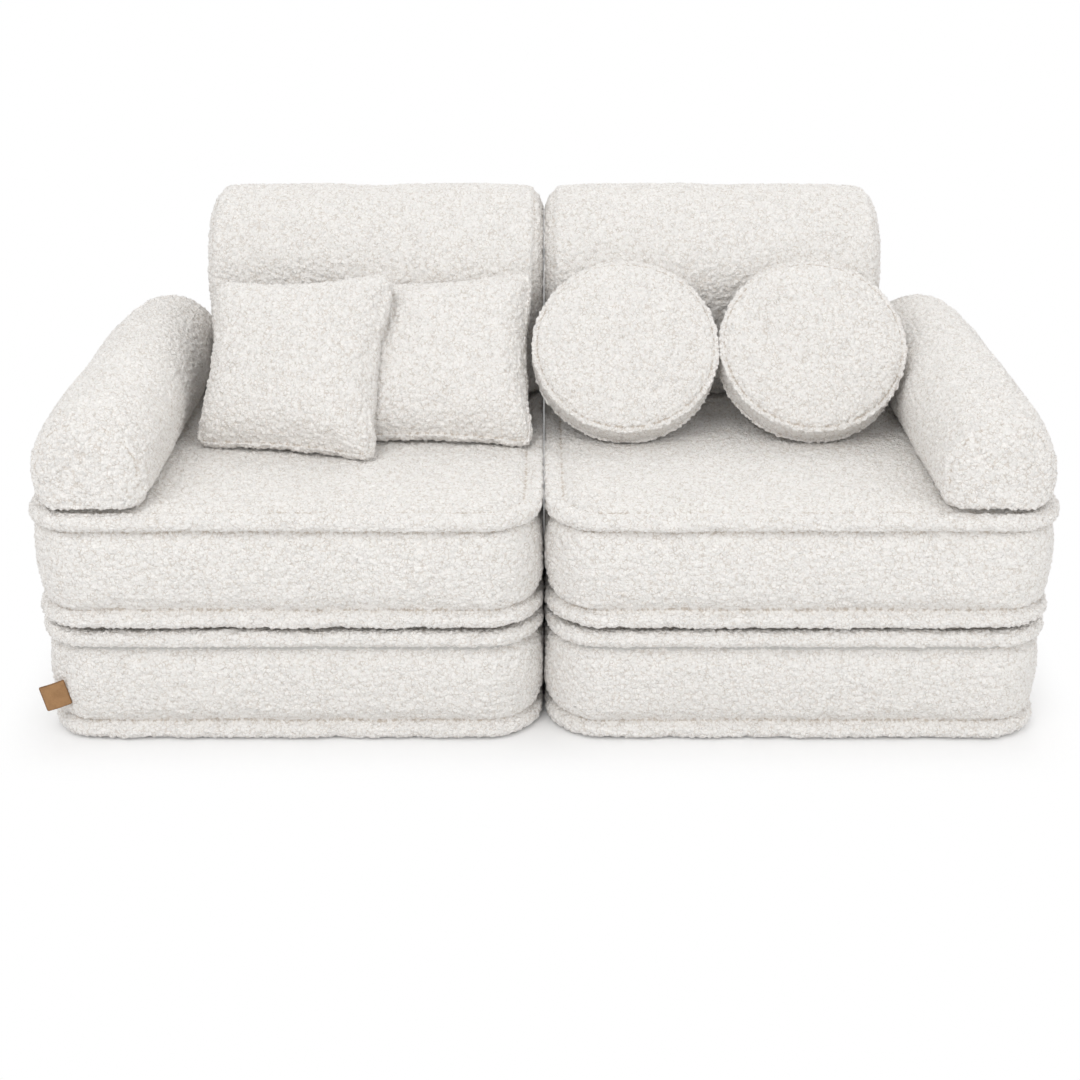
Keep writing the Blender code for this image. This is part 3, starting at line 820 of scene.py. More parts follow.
def clear_channel(obj: bpy.types.Object, title: str, out: np.ndarray) -> None:
    """Press a cover back wherever its zip's slider passes.

    Args:
        obj: The cover, in its place.
        title: Start of the frame's names for the slider.
        out: Outward direction at the zip.
    """
    joint = next(item for item in frame["joints"] if item["child"] == title + "_slider")
    low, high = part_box(title + "_zip_slider")
    run = np.array(joint["axis"], float)
    points = read_points(obj.data)
    offset = points - np.array((low + high) / 2)
    along, depth = offset @ run, offset @ out
    across = np.abs(offset @ np.cross(out, run))
    start, stop = -SLIDER_REACH, joint["range_m"][1] + SLIDER_REACH
    near = np.clip((CHANNEL_EDGE - across) / CHANNEL_SLOPE, 0, 1)
    near = near * (along > start) * (along < stop) * (depth > CHANNEL_SKIN)
    push = (np.minimum(depth, CHANNEL_FLOOR) - depth) * near
    write_points(obj.data, points + push[:, None] * out)


def place_on_frame(obj: bpy.types.Object, body: str, slot: Slot, *nodes: str) -> None:
    """Let a finished piece ride on its body and stand for its nodes.

    Args:
        obj: The piece.
        body: Body that it rides on.
        slot: Material slot of the piece's finish; not used.
        *nodes: CAD nodes that it stands for.
    """
    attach(obj, body)
    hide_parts(*nodes)
    LOG.info("%s: %d faces on %s", obj.name, len(obj.data.polygons), body)


# ---------------------------------------------------------------------------------------
# Cloth, nap and rows of small things


@dataclass(frozen=True)
class Puff:
    """Cloth simulation that swells covers between the places where they are held.

    Attributes:
        pressure: Pressure inside.
        cap: Farthest that a point may move.
        frames: Steps of the simulation.
        spare: Share of extra cloth, which puckers along the seams.
    """

    pressure: float = 4.0
    cap: float = 0.006
    frames: int = 20
    spare: float = 0.012

    def swell(self, covers: Sequence[bpy.types.Object]) -> None:
        """Swell covers together and keep the result in their meshes.

        Args:
            covers: Objects with a vertex group "held" of the points that stay.
        """
        scene = bpy.context.scene
        for cover in covers:
            settings = cover.modifiers.new("puff", "CLOTH").settings
            settings.quality = 4
            settings.use_pressure = True
            settings.uniform_pressure_force = self.pressure
            settings.vertex_group_mass = "held"
            settings.shrink_min = -self.spare
            settings.effector_weights.gravity = 0
        for number in range(1, self.frames + 1):
            scene.frame_set(number)
        depsgraph = bpy.context.evaluated_depsgraph_get()
        for cover in covers:
            swollen = read_points(cover.evaluated_get(depsgraph).data)
            start = read_points(cover.data)
            move = swollen - start
            reach = np.linalg.norm(move, axis=1, keepdims=True)
            share = np.minimum(1.0, self.cap / np.maximum(reach, 1e-9))
            cover.modifiers.clear()
            write_points(cover.data, start + move * share)
        scene.frame_set(1)


def run_tree(
    obj: bpy.types.Object, title: str, tree: bpy.types.NodeTree, values: Sequence[object]
) -> None:
    """Run a node tree on an object and keep the result as a plain mesh.

    Args:
        obj: The object.
        title: Name of the modifier.
        tree: The tree.
        values: Values of its inputs in order, the geometry left out.
    """
    modifier = obj.modifiers.new(title, "NODES")
    modifier.node_group = tree
    inputs = [
        item
        for item in tree.interface.items_tree
        if item.in_out == "INPUT" and item.socket_type != "NodeSocketGeometry"
    ]
    for item, value in zip(inputs, values):
        modifier[item.identifier] = value
    settle(obj)


@dataclass(frozen=True)
class Nap:
    """Curls that stand up from a cover, made by a node tree.

    Attributes:
        curl: Size of a clump of curls.
        height: Height from the hollows to the tips.
        proud: Share of that height that stands outside the cover's form.
        seed: Shift of the curls' pattern.
    """

    curl: float = CURL
    height: float = 0.0030
    proud: float = 0.45
    seed: float = 0.7

    def tree(self) -> bpy.types.NodeTree:
        """The tree, made once: inputs for the curl's size and height, and the material.

        Returns:
            The tree.
        """
        made = bpy.data.node_groups.get("curls")
        if made:
            return made
        made = bpy.data.node_groups.new("curls", "GeometryNodeTree")
        sockets = made.interface
        sockets.new_socket("Cover", in_out="INPUT", socket_type="NodeSocketGeometry")
        for title in ("Curls in a metre", "Curl height", "Proud share", "Seed"):
            sockets.new_socket(title, in_out="INPUT", socket_type="NodeSocketFloat")
        sockets.new_socket("Finish", in_out="INPUT", socket_type="NodeSocketMaterial")
        sockets.new_socket("Cover", in_out="OUTPUT", socket_type="NodeSocketGeometry")
        bench = Bench(made)
        given = bench.add("NodeGroupInput").outputs
        here = bench.add("GeometryNodeInputPosition").outputs[0]
        place = bench.add("ShaderNodeVectorMath", {0: here, 1: given["Seed"]}).outputs[0]
        normal = bench.add("GeometryNodeInputNormal").outputs[0]
        kept = bench.add(
            "GeometryNodeStoreNamedAttribute",
            {"Geometry": given["Cover"], "Name": "nap_place", "Value": place},
            data_type="FLOAT_VECTOR",
        )
        pushed = bench.warped(place, *CURL_DRIFT)
        clump = bench.cells(pushed, given["Curls in a metre"], CURL_SOFTNESS)
        tuft = bench.span(clump, 0.10, 0.75, (1.0, 0.0))
        sunk = bench.sum("SUBTRACT", bench.sum("ADD", tuft, given["Proud share"]), 1.0)
        seam = bench.add("GeometryNodeInputNamedAttribute", {"Name": "seam"}, data_type="FLOAT")
        free = bench.sum("SUBTRACT", 1.0, bench.sum("MULTIPLY", seam.outputs[0], 0.6))
        rise = bench.sum("MULTIPLY", bench.sum("MULTIPLY", sunk, given["Curl height"]), free)
        offset = bench.add(
            "ShaderNodeVectorMath", {0: normal, "Scale": rise}, operation="SCALE"
        )
        raised = bench.add(
            "GeometryNodeSetPosition",
            {"Geometry": kept.outputs[0], "Offset": offset.outputs[0]},
        )
        real = bench.add("GeometryNodeRealizeInstances", {"Geometry": raised.outputs[0]})
        dressed = bench.add(
            "GeometryNodeSetMaterial",
            {"Geometry": real.outputs[0], "Material": given["Finish"]},
        )
        bench.add("NodeGroupOutput", {0: dressed.outputs[0]})
        return made

    def raise_on(self, obj: bpy.types.Object, levels: int = 1) -> None:
        """Smooth a cover, raise the curls on it and keep the result.

        Args:
            obj: The cover, with the attribute "seam".
            levels: Subdivisions before the curls.
        """
        if levels:
            smooth = obj.modifiers.new("smooth", "SUBSURF")
            smooth.levels = smooth.render_levels = levels
        values = (1 / self.curl, self.height, self.proud, self.seed, BOUCLE.material())
        run_tree(obj, "curls", self.tree(), values)


@dataclass(frozen=True)
class Row:
    """Small bars in a row along a path, as zip teeth or stitches, made by a node tree.

    Attributes:
        pitch: Distance between two bars.
        length: Length of a bar.
        radius: Its radius.
        along: Whether a bar lies along the path or across it.
        slant: Farthest that a bar is turned out of line, in radians.
        seed: Seed of those turns.
    """

    pitch: float
    length: float
    radius: float
    along: bool = False
    slant: float = 0.03
    seed: int = 5

    def tree(self) -> bpy.types.NodeTree:
        """The tree, made once: inputs for the pitch, the bar and the material.

        Returns:
            The tree.
        """
        title = "bars_along" if self.along else "bars_across"
        made = bpy.data.node_groups.get(title)
        if made:
            return made
        made = bpy.data.node_groups.new(title, "GeometryNodeTree")
        sockets = made.interface
        sockets.new_socket("Path", in_out="INPUT", socket_type="NodeSocketGeometry")
        for name in ("Pitch", "Bar length", "Bar radius", "Slant"):
            sockets.new_socket(name, in_out="INPUT", socket_type="NodeSocketFloat")
        sockets.new_socket("Seed", in_out="INPUT", socket_type="NodeSocketInt")
        sockets.new_socket("Finish", in_out="INPUT", socket_type="NodeSocketMaterial")
        sockets.new_socket("Bars", in_out="OUTPUT", socket_type="NodeSocketGeometry")
        bench = Bench(made)
        given = bench.add("NodeGroupInput").outputs
        curve = bench.add("GeometryNodeMeshToCurve", {0: given["Path"]})
        spaced = bench.add(
            "GeometryNodeResampleCurve",
            {"Curve": curve.outputs[0], "Length": given["Pitch"]},
            mode="LENGTH",
        )
        points = bench.add(
            "GeometryNodeCurveToPoints", {"Curve": spaced.outputs[0]}, mode="EVALUATED"
        )
        bar = bench.add(
            "GeometryNodeMeshCylinder",
            {"Vertices": 6, "Radius": given["Bar radius"], "Depth": given["Bar length"]},
        )
        turned = bench.add(
            "FunctionNodeAlignRotationToVector",
            {"Vector": points.outputs["Tangent"]},
            axis="Z" if self.along else "X",
        )
        least = bench.sum("MULTIPLY", given["Slant"], -1.0)
        slant = bench.add(
            "FunctionNodeRandomValue",
            {0: least, 1: given["Slant"], "Seed": given["Seed"]},
            data_type="FLOAT_VECTOR",
        )
        swung = bench.add(
            "FunctionNodeRotateRotation",
            {0: turned.outputs[0], 1: slant.outputs[0]},
            rotation_space="LOCAL",
        )
        placed = bench.add(
            "GeometryNodeInstanceOnPoints",
            {
                "Points": points.outputs[0],
                "Instance": bar.outputs[0],
                "Rotation": swung.outputs[0],
            },
        )
        real = bench.add("GeometryNodeRealizeInstances", {"Geometry": placed.outputs[0]})
        dressed = bench.add(
            "GeometryNodeSetMaterial",
            {"Geometry": real.outputs[0], "Material": given["Finish"]},
        )
        bench.add("NodeGroupOutput", {0: dressed.outputs[0]})
        return made

    def lay(self, name: str, path: np.ndarray, finish: Finish) -> bpy.types.Object:
        """Lay the row along a path.

        Args:
            name: Name of the object.
            path: Points of the path.
            finish: Finish of the bars.

        Returns:
            The object, a plain mesh.
        """
        mesh = bpy.data.meshes.new(name)
        edges = [(start, start + 1) for start in range(len(path) - 1)]
        mesh.from_pydata(path.tolist(), edges, [])
        obj = add_object(name, mesh)
        sizes = (self.pitch, self.length, self.radius, self.slant)
        run_tree(obj, "bars", self.tree(), (*sizes, self.seed, finish.material()))
        return obj


def twin(obj: bpy.types.Object, name: str) -> bpy.types.Object:
    """Mirror a cover in X, so that one simulation serves both sides of the sofa.

    Args:
        obj: The cover, about its own middle.
        name: Name of the copy.

    Returns:
        The copy.
    """
    mesh = obj.data.copy()
    mesh.transform(Matrix.Scale(-1, 4, (1, 0, 0)))
    mesh.flip_normals()
    return add_object(name, mesh)


def join(objects: Sequence[bpy.types.Object]) -> bpy.types.Object:
    """Join objects into the first one.

    Args:
        objects: The objects.

    Returns:
        The first object.
    """
    for obj in bpy.context.view_layer.objects:
        obj.select_set(False)
    for obj in objects:
        obj.select_set(True)
    bpy.context.view_layer.objects.active = objects[0]
    bpy.ops.object.join()
    objects[0].select_set(False)
    return objects[0]


# ---------------------------------------------------------------------------------------
# Zips


@dataclass
class ZipLine:
    """A closed zip: two woven tapes, a coil between them, stitches and a slider.

    Attributes:
        node: CAD node of the zip.
        body: Body that the tapes ride on.
        path: Points along the slit, on the tapes' outer face.
        out: Outward direction at each point.
        wide: Width of the two tapes together.
        thick: Thickness of a tape.
        slit: Width of the slit between them.
    """

    node: str
    body: str
    path: np.ndarray
    out: np.ndarray
    wide: float = 0.0072
    thick: float = 0.0007
    slit: float = 0.0004

    @property
    def up(self) -> np.ndarray:
        """Direction across the tapes at each point."""
        run = np.gradient(self.path, axis=0)
        run /= np.linalg.norm(run, axis=1, keepdims=True)
        return np.cross(self.out, run)

    def sweep(self, name: str, side: int) -> bpy.types.Object:
        """Make one tape.

        Args:
            name: Name of the object.
            side: Which side of the slit, -1 or 1.

        Returns:
            The tape.
        """
        up = self.up * side
        half, edge = self.wide / 2, self.slit / 2
        section = (
            (edge, -self.thick),
            (edge, -self.thick / 3),
            (edge + self.thick / 2, 0.0),
            (half - self.thick / 2, 0.0),
            (half, -self.thick / 2),
            (half, -self.thick),
        )
        rows = [self.path + up * across + self.out * deep for across, deep in section]
        points = np.stack(rows, axis=1).reshape(-1, 3)
        size = len(section)
        bm = bmesh.new()
        verts = [bm.verts.new(point) for point in points]
        for step in range(len(self.path) - 1):
            for corner in range(size):
                after = (corner + 1) % size
                start, end = step * size, (step + 1) * size
                loop = (start + corner, start + after, end + after, end + corner)
                bm.faces.new([verts[index] for index in loop])
        bm.faces.new(verts[:size])
        bm.faces.new(verts[-size:])
        bmesh.ops.recalc_face_normals(bm, faces=bm.faces)
        mesh = bpy.data.meshes.new(name)
        bm.to_mesh(mesh)
        bm.free()
        mesh.shade_smooth()
        mesh.materials.append(TAPE.material())
        return add_object(name, mesh)

    def build(self) -> None:
        """Make the zip as one piece and let it stand for its node."""
        tapes = [
            self.sweep(f"{self.node}_tape_{number}", side) for number, side in enumerate((1, -1))
        ]
        coil = Row(0.0013, 0.0026, 0.00040)
        rows = [coil.lay(self.node + "_coil", self.path - self.out * 0.0006, COIL)]
        stitch = Row(0.0034, 0.0024, 0.00022, along=True)
        for number, side in enumerate((1, -1)):
            line = self.path + self.up * side * self.wide * 0.36 + self.out * 0.0001
            rows.append(stitch.lay(f"{self.node}_stitches_{number}", line, THREAD))
        piece = join([*tapes, *rows])
        piece.name = self.node + "_closed"
        place_on_frame(piece, self.body, Slot.ZIP, self.node)


@dataclass
class Slider:
    """Slider of a zip: two plates on a bridge, a bail and a pull.

    Attributes:
        node: CAD node of the slider.
        body: Body that it rides on.
        run: Direction that closes the zip, along which the pull lies.
        out: Outward direction.
        long: Length of its body.
        wide: Width of its body.
    """

    node: str
    body: str
    run: Vector
    out: Vector
    long: float = 0.0105
    wide: float = 0.0066

    def plate(
        self, bm: bmesh.types.BMesh, outline: Sequence[tuple], low: float, high: float
    ) -> None:
        """Add a plate between two depths.

        Args:
            bm: Mesh that it goes into.
            outline: Points along and across.
            low: Inner depth.
            high: Outer depth.
        """
        rings = [[bm.verts.new((x, y, z)) for x, y in outline] for z in (low, high)]
        bm.faces.new(rings[0][::-1])
        bm.faces.new(rings[1])
        for index in range(len(outline)):
            after = (index + 1) % len(outline)
            bm.faces.new((rings[0][index], rings[0][after], rings[1][after], rings[1][index]))

    def build(self) -> None:
        """Make the slider and let it stand for its node."""
        half, edge = self.long / 2, self.wide / 2
        bm = bmesh.new()
        shield = [
            (-half, edge * 0.55),
            (-half * 0.5, edge * 0.8),
            (half * 0.2, edge),
            (half * 0.8, edge * 0.95),
            (half, edge * 0.5),
        ]
        shield += [(x, -y) for x, y in reversed(shield)]
        shield = shield[::-1]
        self.plate(bm, shield, -0.0016, -0.0006)
        bridge = [(x * 0.30 + half * 0.55, y * 0.30) for x, y in shield]
        self.plate(bm, bridge, -0.0006, 0.0002)
        steps = 10
        for turn in range(steps):
            angle = math.pi * turn / (steps - 1)
            start = Vector((0.0028 * math.cos(angle), 0, 0.0014 * math.sin(angle) - 0.0006))
            ring = bmesh.ops.create_icosphere(bm, subdivisions=1, radius=0.0006)
            bmesh.ops.translate(bm, verts=ring["verts"], vec=start)
        tab = []
        for turn in range(16):
            angle = math.tau * turn / 16
            swell = 1.0 if math.cos(angle) < 0 else 0.8
            tab.append((0.0062 * math.cos(angle) - 0.0065, 0.0023 * math.sin(angle) * swell))
        self.plate(bm, tab, 0.0006, 0.0015)
        bmesh.ops.recalc_face_normals(bm, faces=bm.faces)
        mesh = bpy.data.meshes.new(self.node + "_metal")
        bm.to_mesh(mesh)
        bm.free()
        low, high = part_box(self.node)
        across = self.out.cross(self.run)
        turn = Matrix((self.run, across, self.out)).transposed().to_4x4()
        mesh.transform(Matrix.Translation((low + high) / 2) @ turn)
        mesh.materials.append(METAL.material())
        piece = add_object(self.node + "_metal", mesh)
        bevel = piece.modifiers.new("edges", "BEVEL")
        bevel.width = 0.0002
        bevel.segments = 2
        settle(piece)
        place_on_frame(piece, self.body, Slot.SLIDER, self.node)


def straight_zip(
    title: str, home: Matrix, reach: float, depth: float, height: float, count: int = 60
) -> None:
    """Make a straight zip and its slider on the +Y side of a piece.

    Args:
        title: Start of the frame's names, which is also the body's.
        home: Matrix from the piece's own frame into the sofa's.
        reach: Half the zip's length.
        depth: Where the tapes' outer face lies along Y.
        height: Where they lie along Z.
        count: Points along the zip.
    """
    end = reach - 0.0004
    x = np.linspace(-end, end, count)
    line = np.column_stack((x, np.full(count, depth), np.full(count, height)))
    place = np.array(home)
    path = line @ place[:3, :3].T + place[:3, 3]
    ZipLine(title + "_zip", title, path, np.tile(place[:3, 1], (count, 1))).build()
    turn = home.to_3x3()
    run, out = turn @ Vector((-1, 0, 0)), turn @ Vector((0, 1, 0))
    Slider(title + "_zip_slider", title + "_slider", run, out).build()


# ---------------------------------------------------------------------------------------
# Seat blocks


@dataclass
class SeatBlock:
    """One foam block of a module in its cover.

    Attributes:
        side: Which module.
        level: Which block of it.
        width: Size along X.
        depth: Size along Y.
        height: Size along Z.
        corner: Radius of its corners seen from above.
        roll: Radius of the rolled edge.
        valley: How far a roll's wall seam lies in from the outside.
        crown: Rise of the sitting face.
        zip_drop: How far the zip lies below the top.
        zip_inset: How far its tapes lie in from the outside.
        zip_run: How far the zip comes round along the outer side.
        foam_side: Room between the cover's side and the foam.
        foam_face: Room between its top or bottom and the foam.
        meeting_bulge: How far the inner side bulges toward the other module.
        ledge: How far in from its edge a panel comes level with the rolls.
        pucker: Size of the puckers along a seam.
        cells: Cells of a panel along X and along Y.
    """

    side: Side
    level: Level
    width: float = 0.695
    depth: float = 0.750
    height: float = 0.172
    corner: float = 0.078
    roll: float = 0.013
    valley: float = 0.0150
    crown: float = 0.002
    zip_drop: float = 0.030
    zip_inset: float = 0.0145
    zip_run: float = 0.300
    foam_side: float = 0.021
    foam_face: float = 0.010
    meeting_bulge: float = 0.0044
    ledge: float = 0.02
    pucker: float = 0.016
    cells: tuple[int, int] = (88, 94)

    @property
    def title(self) -> str:
        """Start of the frame's names for this block."""
        return f"seat_{self.side.label}_{self.level.label}"

    @property
    def body(self) -> str:
        """Body that the block rides on."""
        base = "" if self.level is Level.UPPER else "_base"
        return f"seat_{self.side.label}{base}"

    @property
    def home(self) -> np.ndarray:
        """Middle of the block's foot in the frame."""
        low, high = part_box(self.title + "_foam")
        return np.array(((low.x + high.x) / 2, (low.y + high.y) / 2, low.z - self.foam_face))

    def outline(self, inset: float, across: int, along: int) -> np.ndarray:
        """Round-cornered outline, started at a corner's middle.

        Args:
            inset: How far it is drawn in.
            across: Cells along X.
            along: Cells along Y.

        Returns:
            Rows of place and outward normal.
        """
        x, y = self.width / 2 - self.corner, self.depth / 2 - self.corner
        return round_rectangle(x, y, self.corner - inset, (across, along) * 2)

    def zip_mask(self, outline: np.ndarray) -> np.ndarray:
        """Where the zip runs, from 0 to 1 round the outline.

        Args:
            outline: Rows of place and normal.

        Returns:
            One value for each row.
        """
        x = outline[:, 0] * self.side.value
        y = outline[:, 1] * self.level.value
        line = self.depth / 2 - self.corner
        along_side = (x > self.width / 2 - self.corner / 2) & (y < self.zip_run - line)
        mask = ((y < -line) | along_side).astype(float)
        for _ in range(3):
            mask = (np.roll(mask, 1) + mask + np.roll(mask, -1)) / 3
        return mask

    def rows(self, mask: np.ndarray) -> list[tuple]:
        """Section of the cover from the bottom panel's seam to the top panel's.

        Args:
            mask: Where the zip runs round the outline.

        Returns:
            Inset, height, closeness to a seam and distance from one, for each row.
        """
        centre = self.roll - 0.0005
        ring = []
        for degrees in (-148, -128, -105, -80, -55, -30, -5, 20, 45, 68):
            angle = math.radians(degrees)
            inset = self.roll * (1 - math.cos(angle))
            near = 1.0 if degrees == -148 else 0.0
            height = max(0.0, centre + self.roll * math.sin(angle))
            ring.append((inset, height, near, ROLL_AWAY))
        seam_z = 2 * self.roll + 0.0005
        foot = [
            (self.valley, seam_z, 1.0, 0.0),
            (0.0098, seam_z + 0.0030, 0.35, 0.003),
            (0.0070, seam_z + 0.0075, 0.05, 0.008),
            (0.0060, seam_z + 0.0130, 0.0, 0.013),
        ]
        wall_low, wall_high = seam_z + 0.0185, self.height - seam_z - 0.0185
        wall = []
        for step in range(15):
            share = step / 14
            bulge = math.sin(math.pi * share)
            height = wall_low + (wall_high - wall_low) * share
            away = min(height - seam_z, self.height - seam_z - height)
            wall.append((0.0056 - 0.0026 * bulge, height, 0.0, away))
        upper = [(inset, self.height - z, near, away) for inset, z, near, away in reversed(foot)]
        top = [(inset, self.height - z, near, away) for inset, z, near, away in reversed(ring)]
        floor = self.zip_inset + ZIP_BED
        channel = {1: 0.0068, 2: floor - 0.001, 3: floor + 0.0012}
        rows = []
        for part in (ring, foot, wall, upper, top):
            for number, (inset, z, near, away) in enumerate(part):
                depth = inset
                if part is upper:
                    drop = channel.get(number, inset) - inset
                    depth = inset + mask * drop
                    z = z - mask * (0.0035 if number == 1 else 0.0015 if number == 2 else 0.0)
                rows.append((depth, z, near, away))
        return rows

    def cover(self) -> bpy.types.Object:
        """Make the cover's form with its seams, held where it is stitched or lies flat.

        Returns:
            The object, about its own middle.
        """
        skin = Skin(*self.cells)
        outline = self.outline(0.0, skin.across, skin.along)
        place, normal = outline[:, :2], outline[:, 2:]
        away = []
        inner = np.clip(-normal[:, 0] * self.side.value, 0, 1) ** 4
        meeting = inner * np.clip(1 - np.abs(2 * place[:, 1] / self.depth) ** 4, 0, 1)
        for inset, z, close, distance in self.rows(self.zip_mask(outline)):
            inset = np.broadcast_to(inset, len(place))
            filled = np.where(inset < self.roll / 2, inset * 0.25, inset) - self.meeting_bulge
            inset = inset + (filled - inset) * meeting
            skin.add(place - normal * inset[:, None], z, close)
            away.append(np.full(len(place), distance))
        obj = skin.build(self.title + "_boucle", self.foot_rise(), self.head_rise())
        seam = marked(obj.data, "seam")
        walls = len(skin.rings) * skin.around
        distance = np.ones(len(seam))
        distance[:walls] = np.concatenate(away)
        mark(obj.data, "away", distance)
        hold(obj, (seam > 0.9) | (np.arange(len(seam)) >= walls))
        return obj

    def levelled(self, across: np.ndarray, along: np.ndarray) -> np.ndarray:
        """How far a panel has come from its seam to the rolls' level.

        Args:
            across: Shares of the way across.
            along: Shares of the way along.

        Returns:
            A share from 0 to 1 for each place.
        """
        edge = np.minimum.reduce((across, 1 - across, along, 1 - along)) * self.width
        return np.clip(edge / self.ledge, 0, 1) ** 0.7

    def foot_rise(self) -> Lift:
        """Shape of the bottom panel, which comes down to the rolls' level."""

        def rise(points: np.ndarray, across: np.ndarray, along: np.ndarray) -> np.ndarray:
            """Bring the panel down beside the rolls."""
            return -float(points[0, 2]) * self.levelled(across, along)

        return rise

    def head_rise(self) -> Lift:
        """Shape of the top panel, which rises to the rolls' level and a low crown."""
        crown = self.crown if self.level is Level.UPPER else 0.0

        def rise(points: np.ndarray, across: np.ndarray, along: np.ndarray) -> np.ndarray:
            """Lift the panel beside the rolls and crown it."""
            climb = self.height - float(points[0, 2])
            return climb * self.levelled(across, along) + crown * dome(across, along) ** 0.5

        return rise

    def loosen(self, obj: bpy.types.Object, seed: float) -> None:
        """Give the cover puckers along its seams and the slack of real cloth.

        Args:
            obj: The cover, about its own middle.
            seed: Shift of the noise.
        """
        mesh = obj.data
        points, normals = read_points(mesh), read_normals(mesh)
        away = marked(mesh, "away")
        upright = np.clip(1 - np.abs(normals[:, 2]), 0, 1)
        along_seam = points * (1.0, 1.0, 0.25)
        size = self.pucker
        pucker = smooth_noise(along_seam, size, seed) * np.exp(-away / size) * upright
        slack = smooth_noise(points, 0.085, seed + 1)
        roll = np.exp(-(((away - ROLL_AWAY) / 0.004) ** 2))
        wander = smooth_noise(points, 0.045, seed + 2)
        offset = 0.0022 * pucker + 0.0024 * slack * upright + 0.0018 * wander * roll
        flat = np.abs(normals[:, 2]) > 0.9
        offset = np.where(flat, 0.0007 * slack - 0.0004, offset)
        points += normals * offset[:, None]
        limit = self.width / 2 + self.meeting_bulge
        points[:, 0] = np.clip(points[:, 0], -limit, limit)
        waver = smooth_noise(points * (1.0, 1.0, 0.0), 0.055, seed + 3)
        points[:, 2] += 0.0020 * waver * np.exp(-((away / 0.010) ** 2))
        low = 0.0 if self.level is Level.LOWER else 0.0002
        points[:, 2] = np.clip(points[:, 2], low, self.height + self.crown)
        write_points(mesh, points)

    def sew_corner(self, obj: bpy.types.Object) -> None:
        """Press an upright seam into the front corner where the tag is stitched in.

        Args:
            obj: The cover, about its own middle.
        """
        angle = math.radians(237)
        radius = self.corner - 0.003
        seam = np.array(
            (
                -self.width / 2 + self.corner + radius * math.cos(angle),
                -self.depth / 2 + self.corner + radius * math.sin(angle),
            )
        )
        mesh = obj.data
        points, normals = read_points(mesh), read_normals(mesh)
        reach = np.linalg.norm(points[:, :2] - seam, axis=1)
        wall = (points[:, 2] > 2 * self.roll) & (points[:, 2] < self.height - 2 * self.roll)
        depth = np.exp(-((reach / 0.005) ** 2)) * wall
        points -= normals * (0.0045 * depth)[:, None]
        write_points(mesh, points)
        mark(mesh, "seam", np.maximum(marked(mesh, "seam"), 0.8 * depth))

    def finish_cover(self, obj: bpy.types.Object, seed: float) -> None:
        """Dress a swollen cover and put it in its place.

        Args:
            obj: The cover, about its own middle.
            seed: Shift of the noise.
        """
        self.loosen(obj, seed)
        if self.side is Side.LEFT and self.level is Level.LOWER:
            self.sew_corner(obj)
        write_points(obj.data, read_points(obj.data) + self.home)
        Nap().raise_on(obj)
        clear_channel(obj, self.title, np.array((float(self.side.value), 0.0, 0.0)))
        fold = next(item for item in frame["joints"] if item["name"] == self.side.label + "_fold")
        keep_apart(obj, -1, 1, fold["pos_m"][1])
        keep_apart(obj, self.side.value)
        place_on_frame(obj, self.body, Slot.BOUCLE, self.title + "_cover")

    def foam(self) -> None:
        """Make the foam block inside the cover."""
        skin = Skin(24, 26)
        outline = self.outline(self.foam_side, skin.across, skin.along)
        soft = 0.004
        low, high = self.foam_face, self.height - self.foam_face
        rows = [(0.010, low), (soft, low), (soft / 3, low + soft / 3), (0.0, low + soft)]
        middle = [(0.0, low + (high - low) * share) for share in (0.25, 0.5, 0.75)]
        top = [(inset, low + high - z) for inset, z in reversed(rows)]
        for inset, z in rows + middle + top:
            skin.add(outline[:, :2] - outline[:, 2:] * inset, z)
        obj = skin.build(self.title + "_core")
        write_points(obj.data, read_points(obj.data) + self.home)
        obj.data.materials.append(FOAM.material())
        place_on_frame(obj, self.body, Slot.FOAM, self.title + "_foam")

    def zip(self) -> None:
        """Make the zip and its slider."""
        radius = self.corner - self.zip_inset
        x, y = self.width / 2 - self.corner, self.depth / 2 - self.corner
        inner = arc((-x, -y), radius, 180, 270)
        outer = arc((x, -y), radius, 270, 360)
        end = np.array(((self.width / 2 - self.zip_inset, self.zip_run - y, 1.0, 0.0),))
        line = resample(np.vstack((inner, outer, end)), 230)
        turn = np.array((self.side.value, self.level.value))
        z = np.full(len(line), self.height - self.zip_drop)
        path = np.column_stack((line[:, :2] * turn, z)) + self.home
        out = np.column_stack((line[:, 2:] * turn, np.zeros(len(line))))
        out /= np.linalg.norm(out, axis=1, keepdims=True)
        ZipLine(self.title + "_zip", self.body, path, out).build()
        run, outward = Vector((0, self.level.value, 0)), Vector((self.side.value, 0, 0))
        Slider(self.title + "_zip_slider", self.title + "_slider", run, outward).build()


@dataclass
class FoldSeam:
    """Rolled seam on the fold line between a module's two blocks.

    Attributes:
        side: Which module.
        radius: Radius of the roll.
    """

    side: Side
    radius: float = 0.0072

    def build(self) -> None:
        """Make the roll and let it stand for its node."""
        node = f"fold_seam_{self.side.label}"
        low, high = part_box(node)
        middle = (low + high) / 2
        skin = Skin(4, 4)
        angles = np.radians(225 + np.arange(skin.around) * 360 / skin.around)
        count = 90
        for step in range(count + 1):
            share = step / count
            taper = min(1.0, 14 * min(share, 1 - share) + 0.45)
            ring = np.stack((np.cos(angles), np.sin(angles)), axis=1) * self.radius * taper
            skin.add(ring, (high.x - low.x) * (share - 0.5))
        obj = skin.build(node + "_roll")
        obj.data.transform(Matrix.Translation(middle) @ ALONG_X)
        Nap(height=0.0018, proud=0.2).raise_on(obj)
        place_on_frame(obj, f"seat_{self.side.label}", Slot.BOUCLE, node)


# ---------------------------------------------------------------------------------------
# Backs and arms


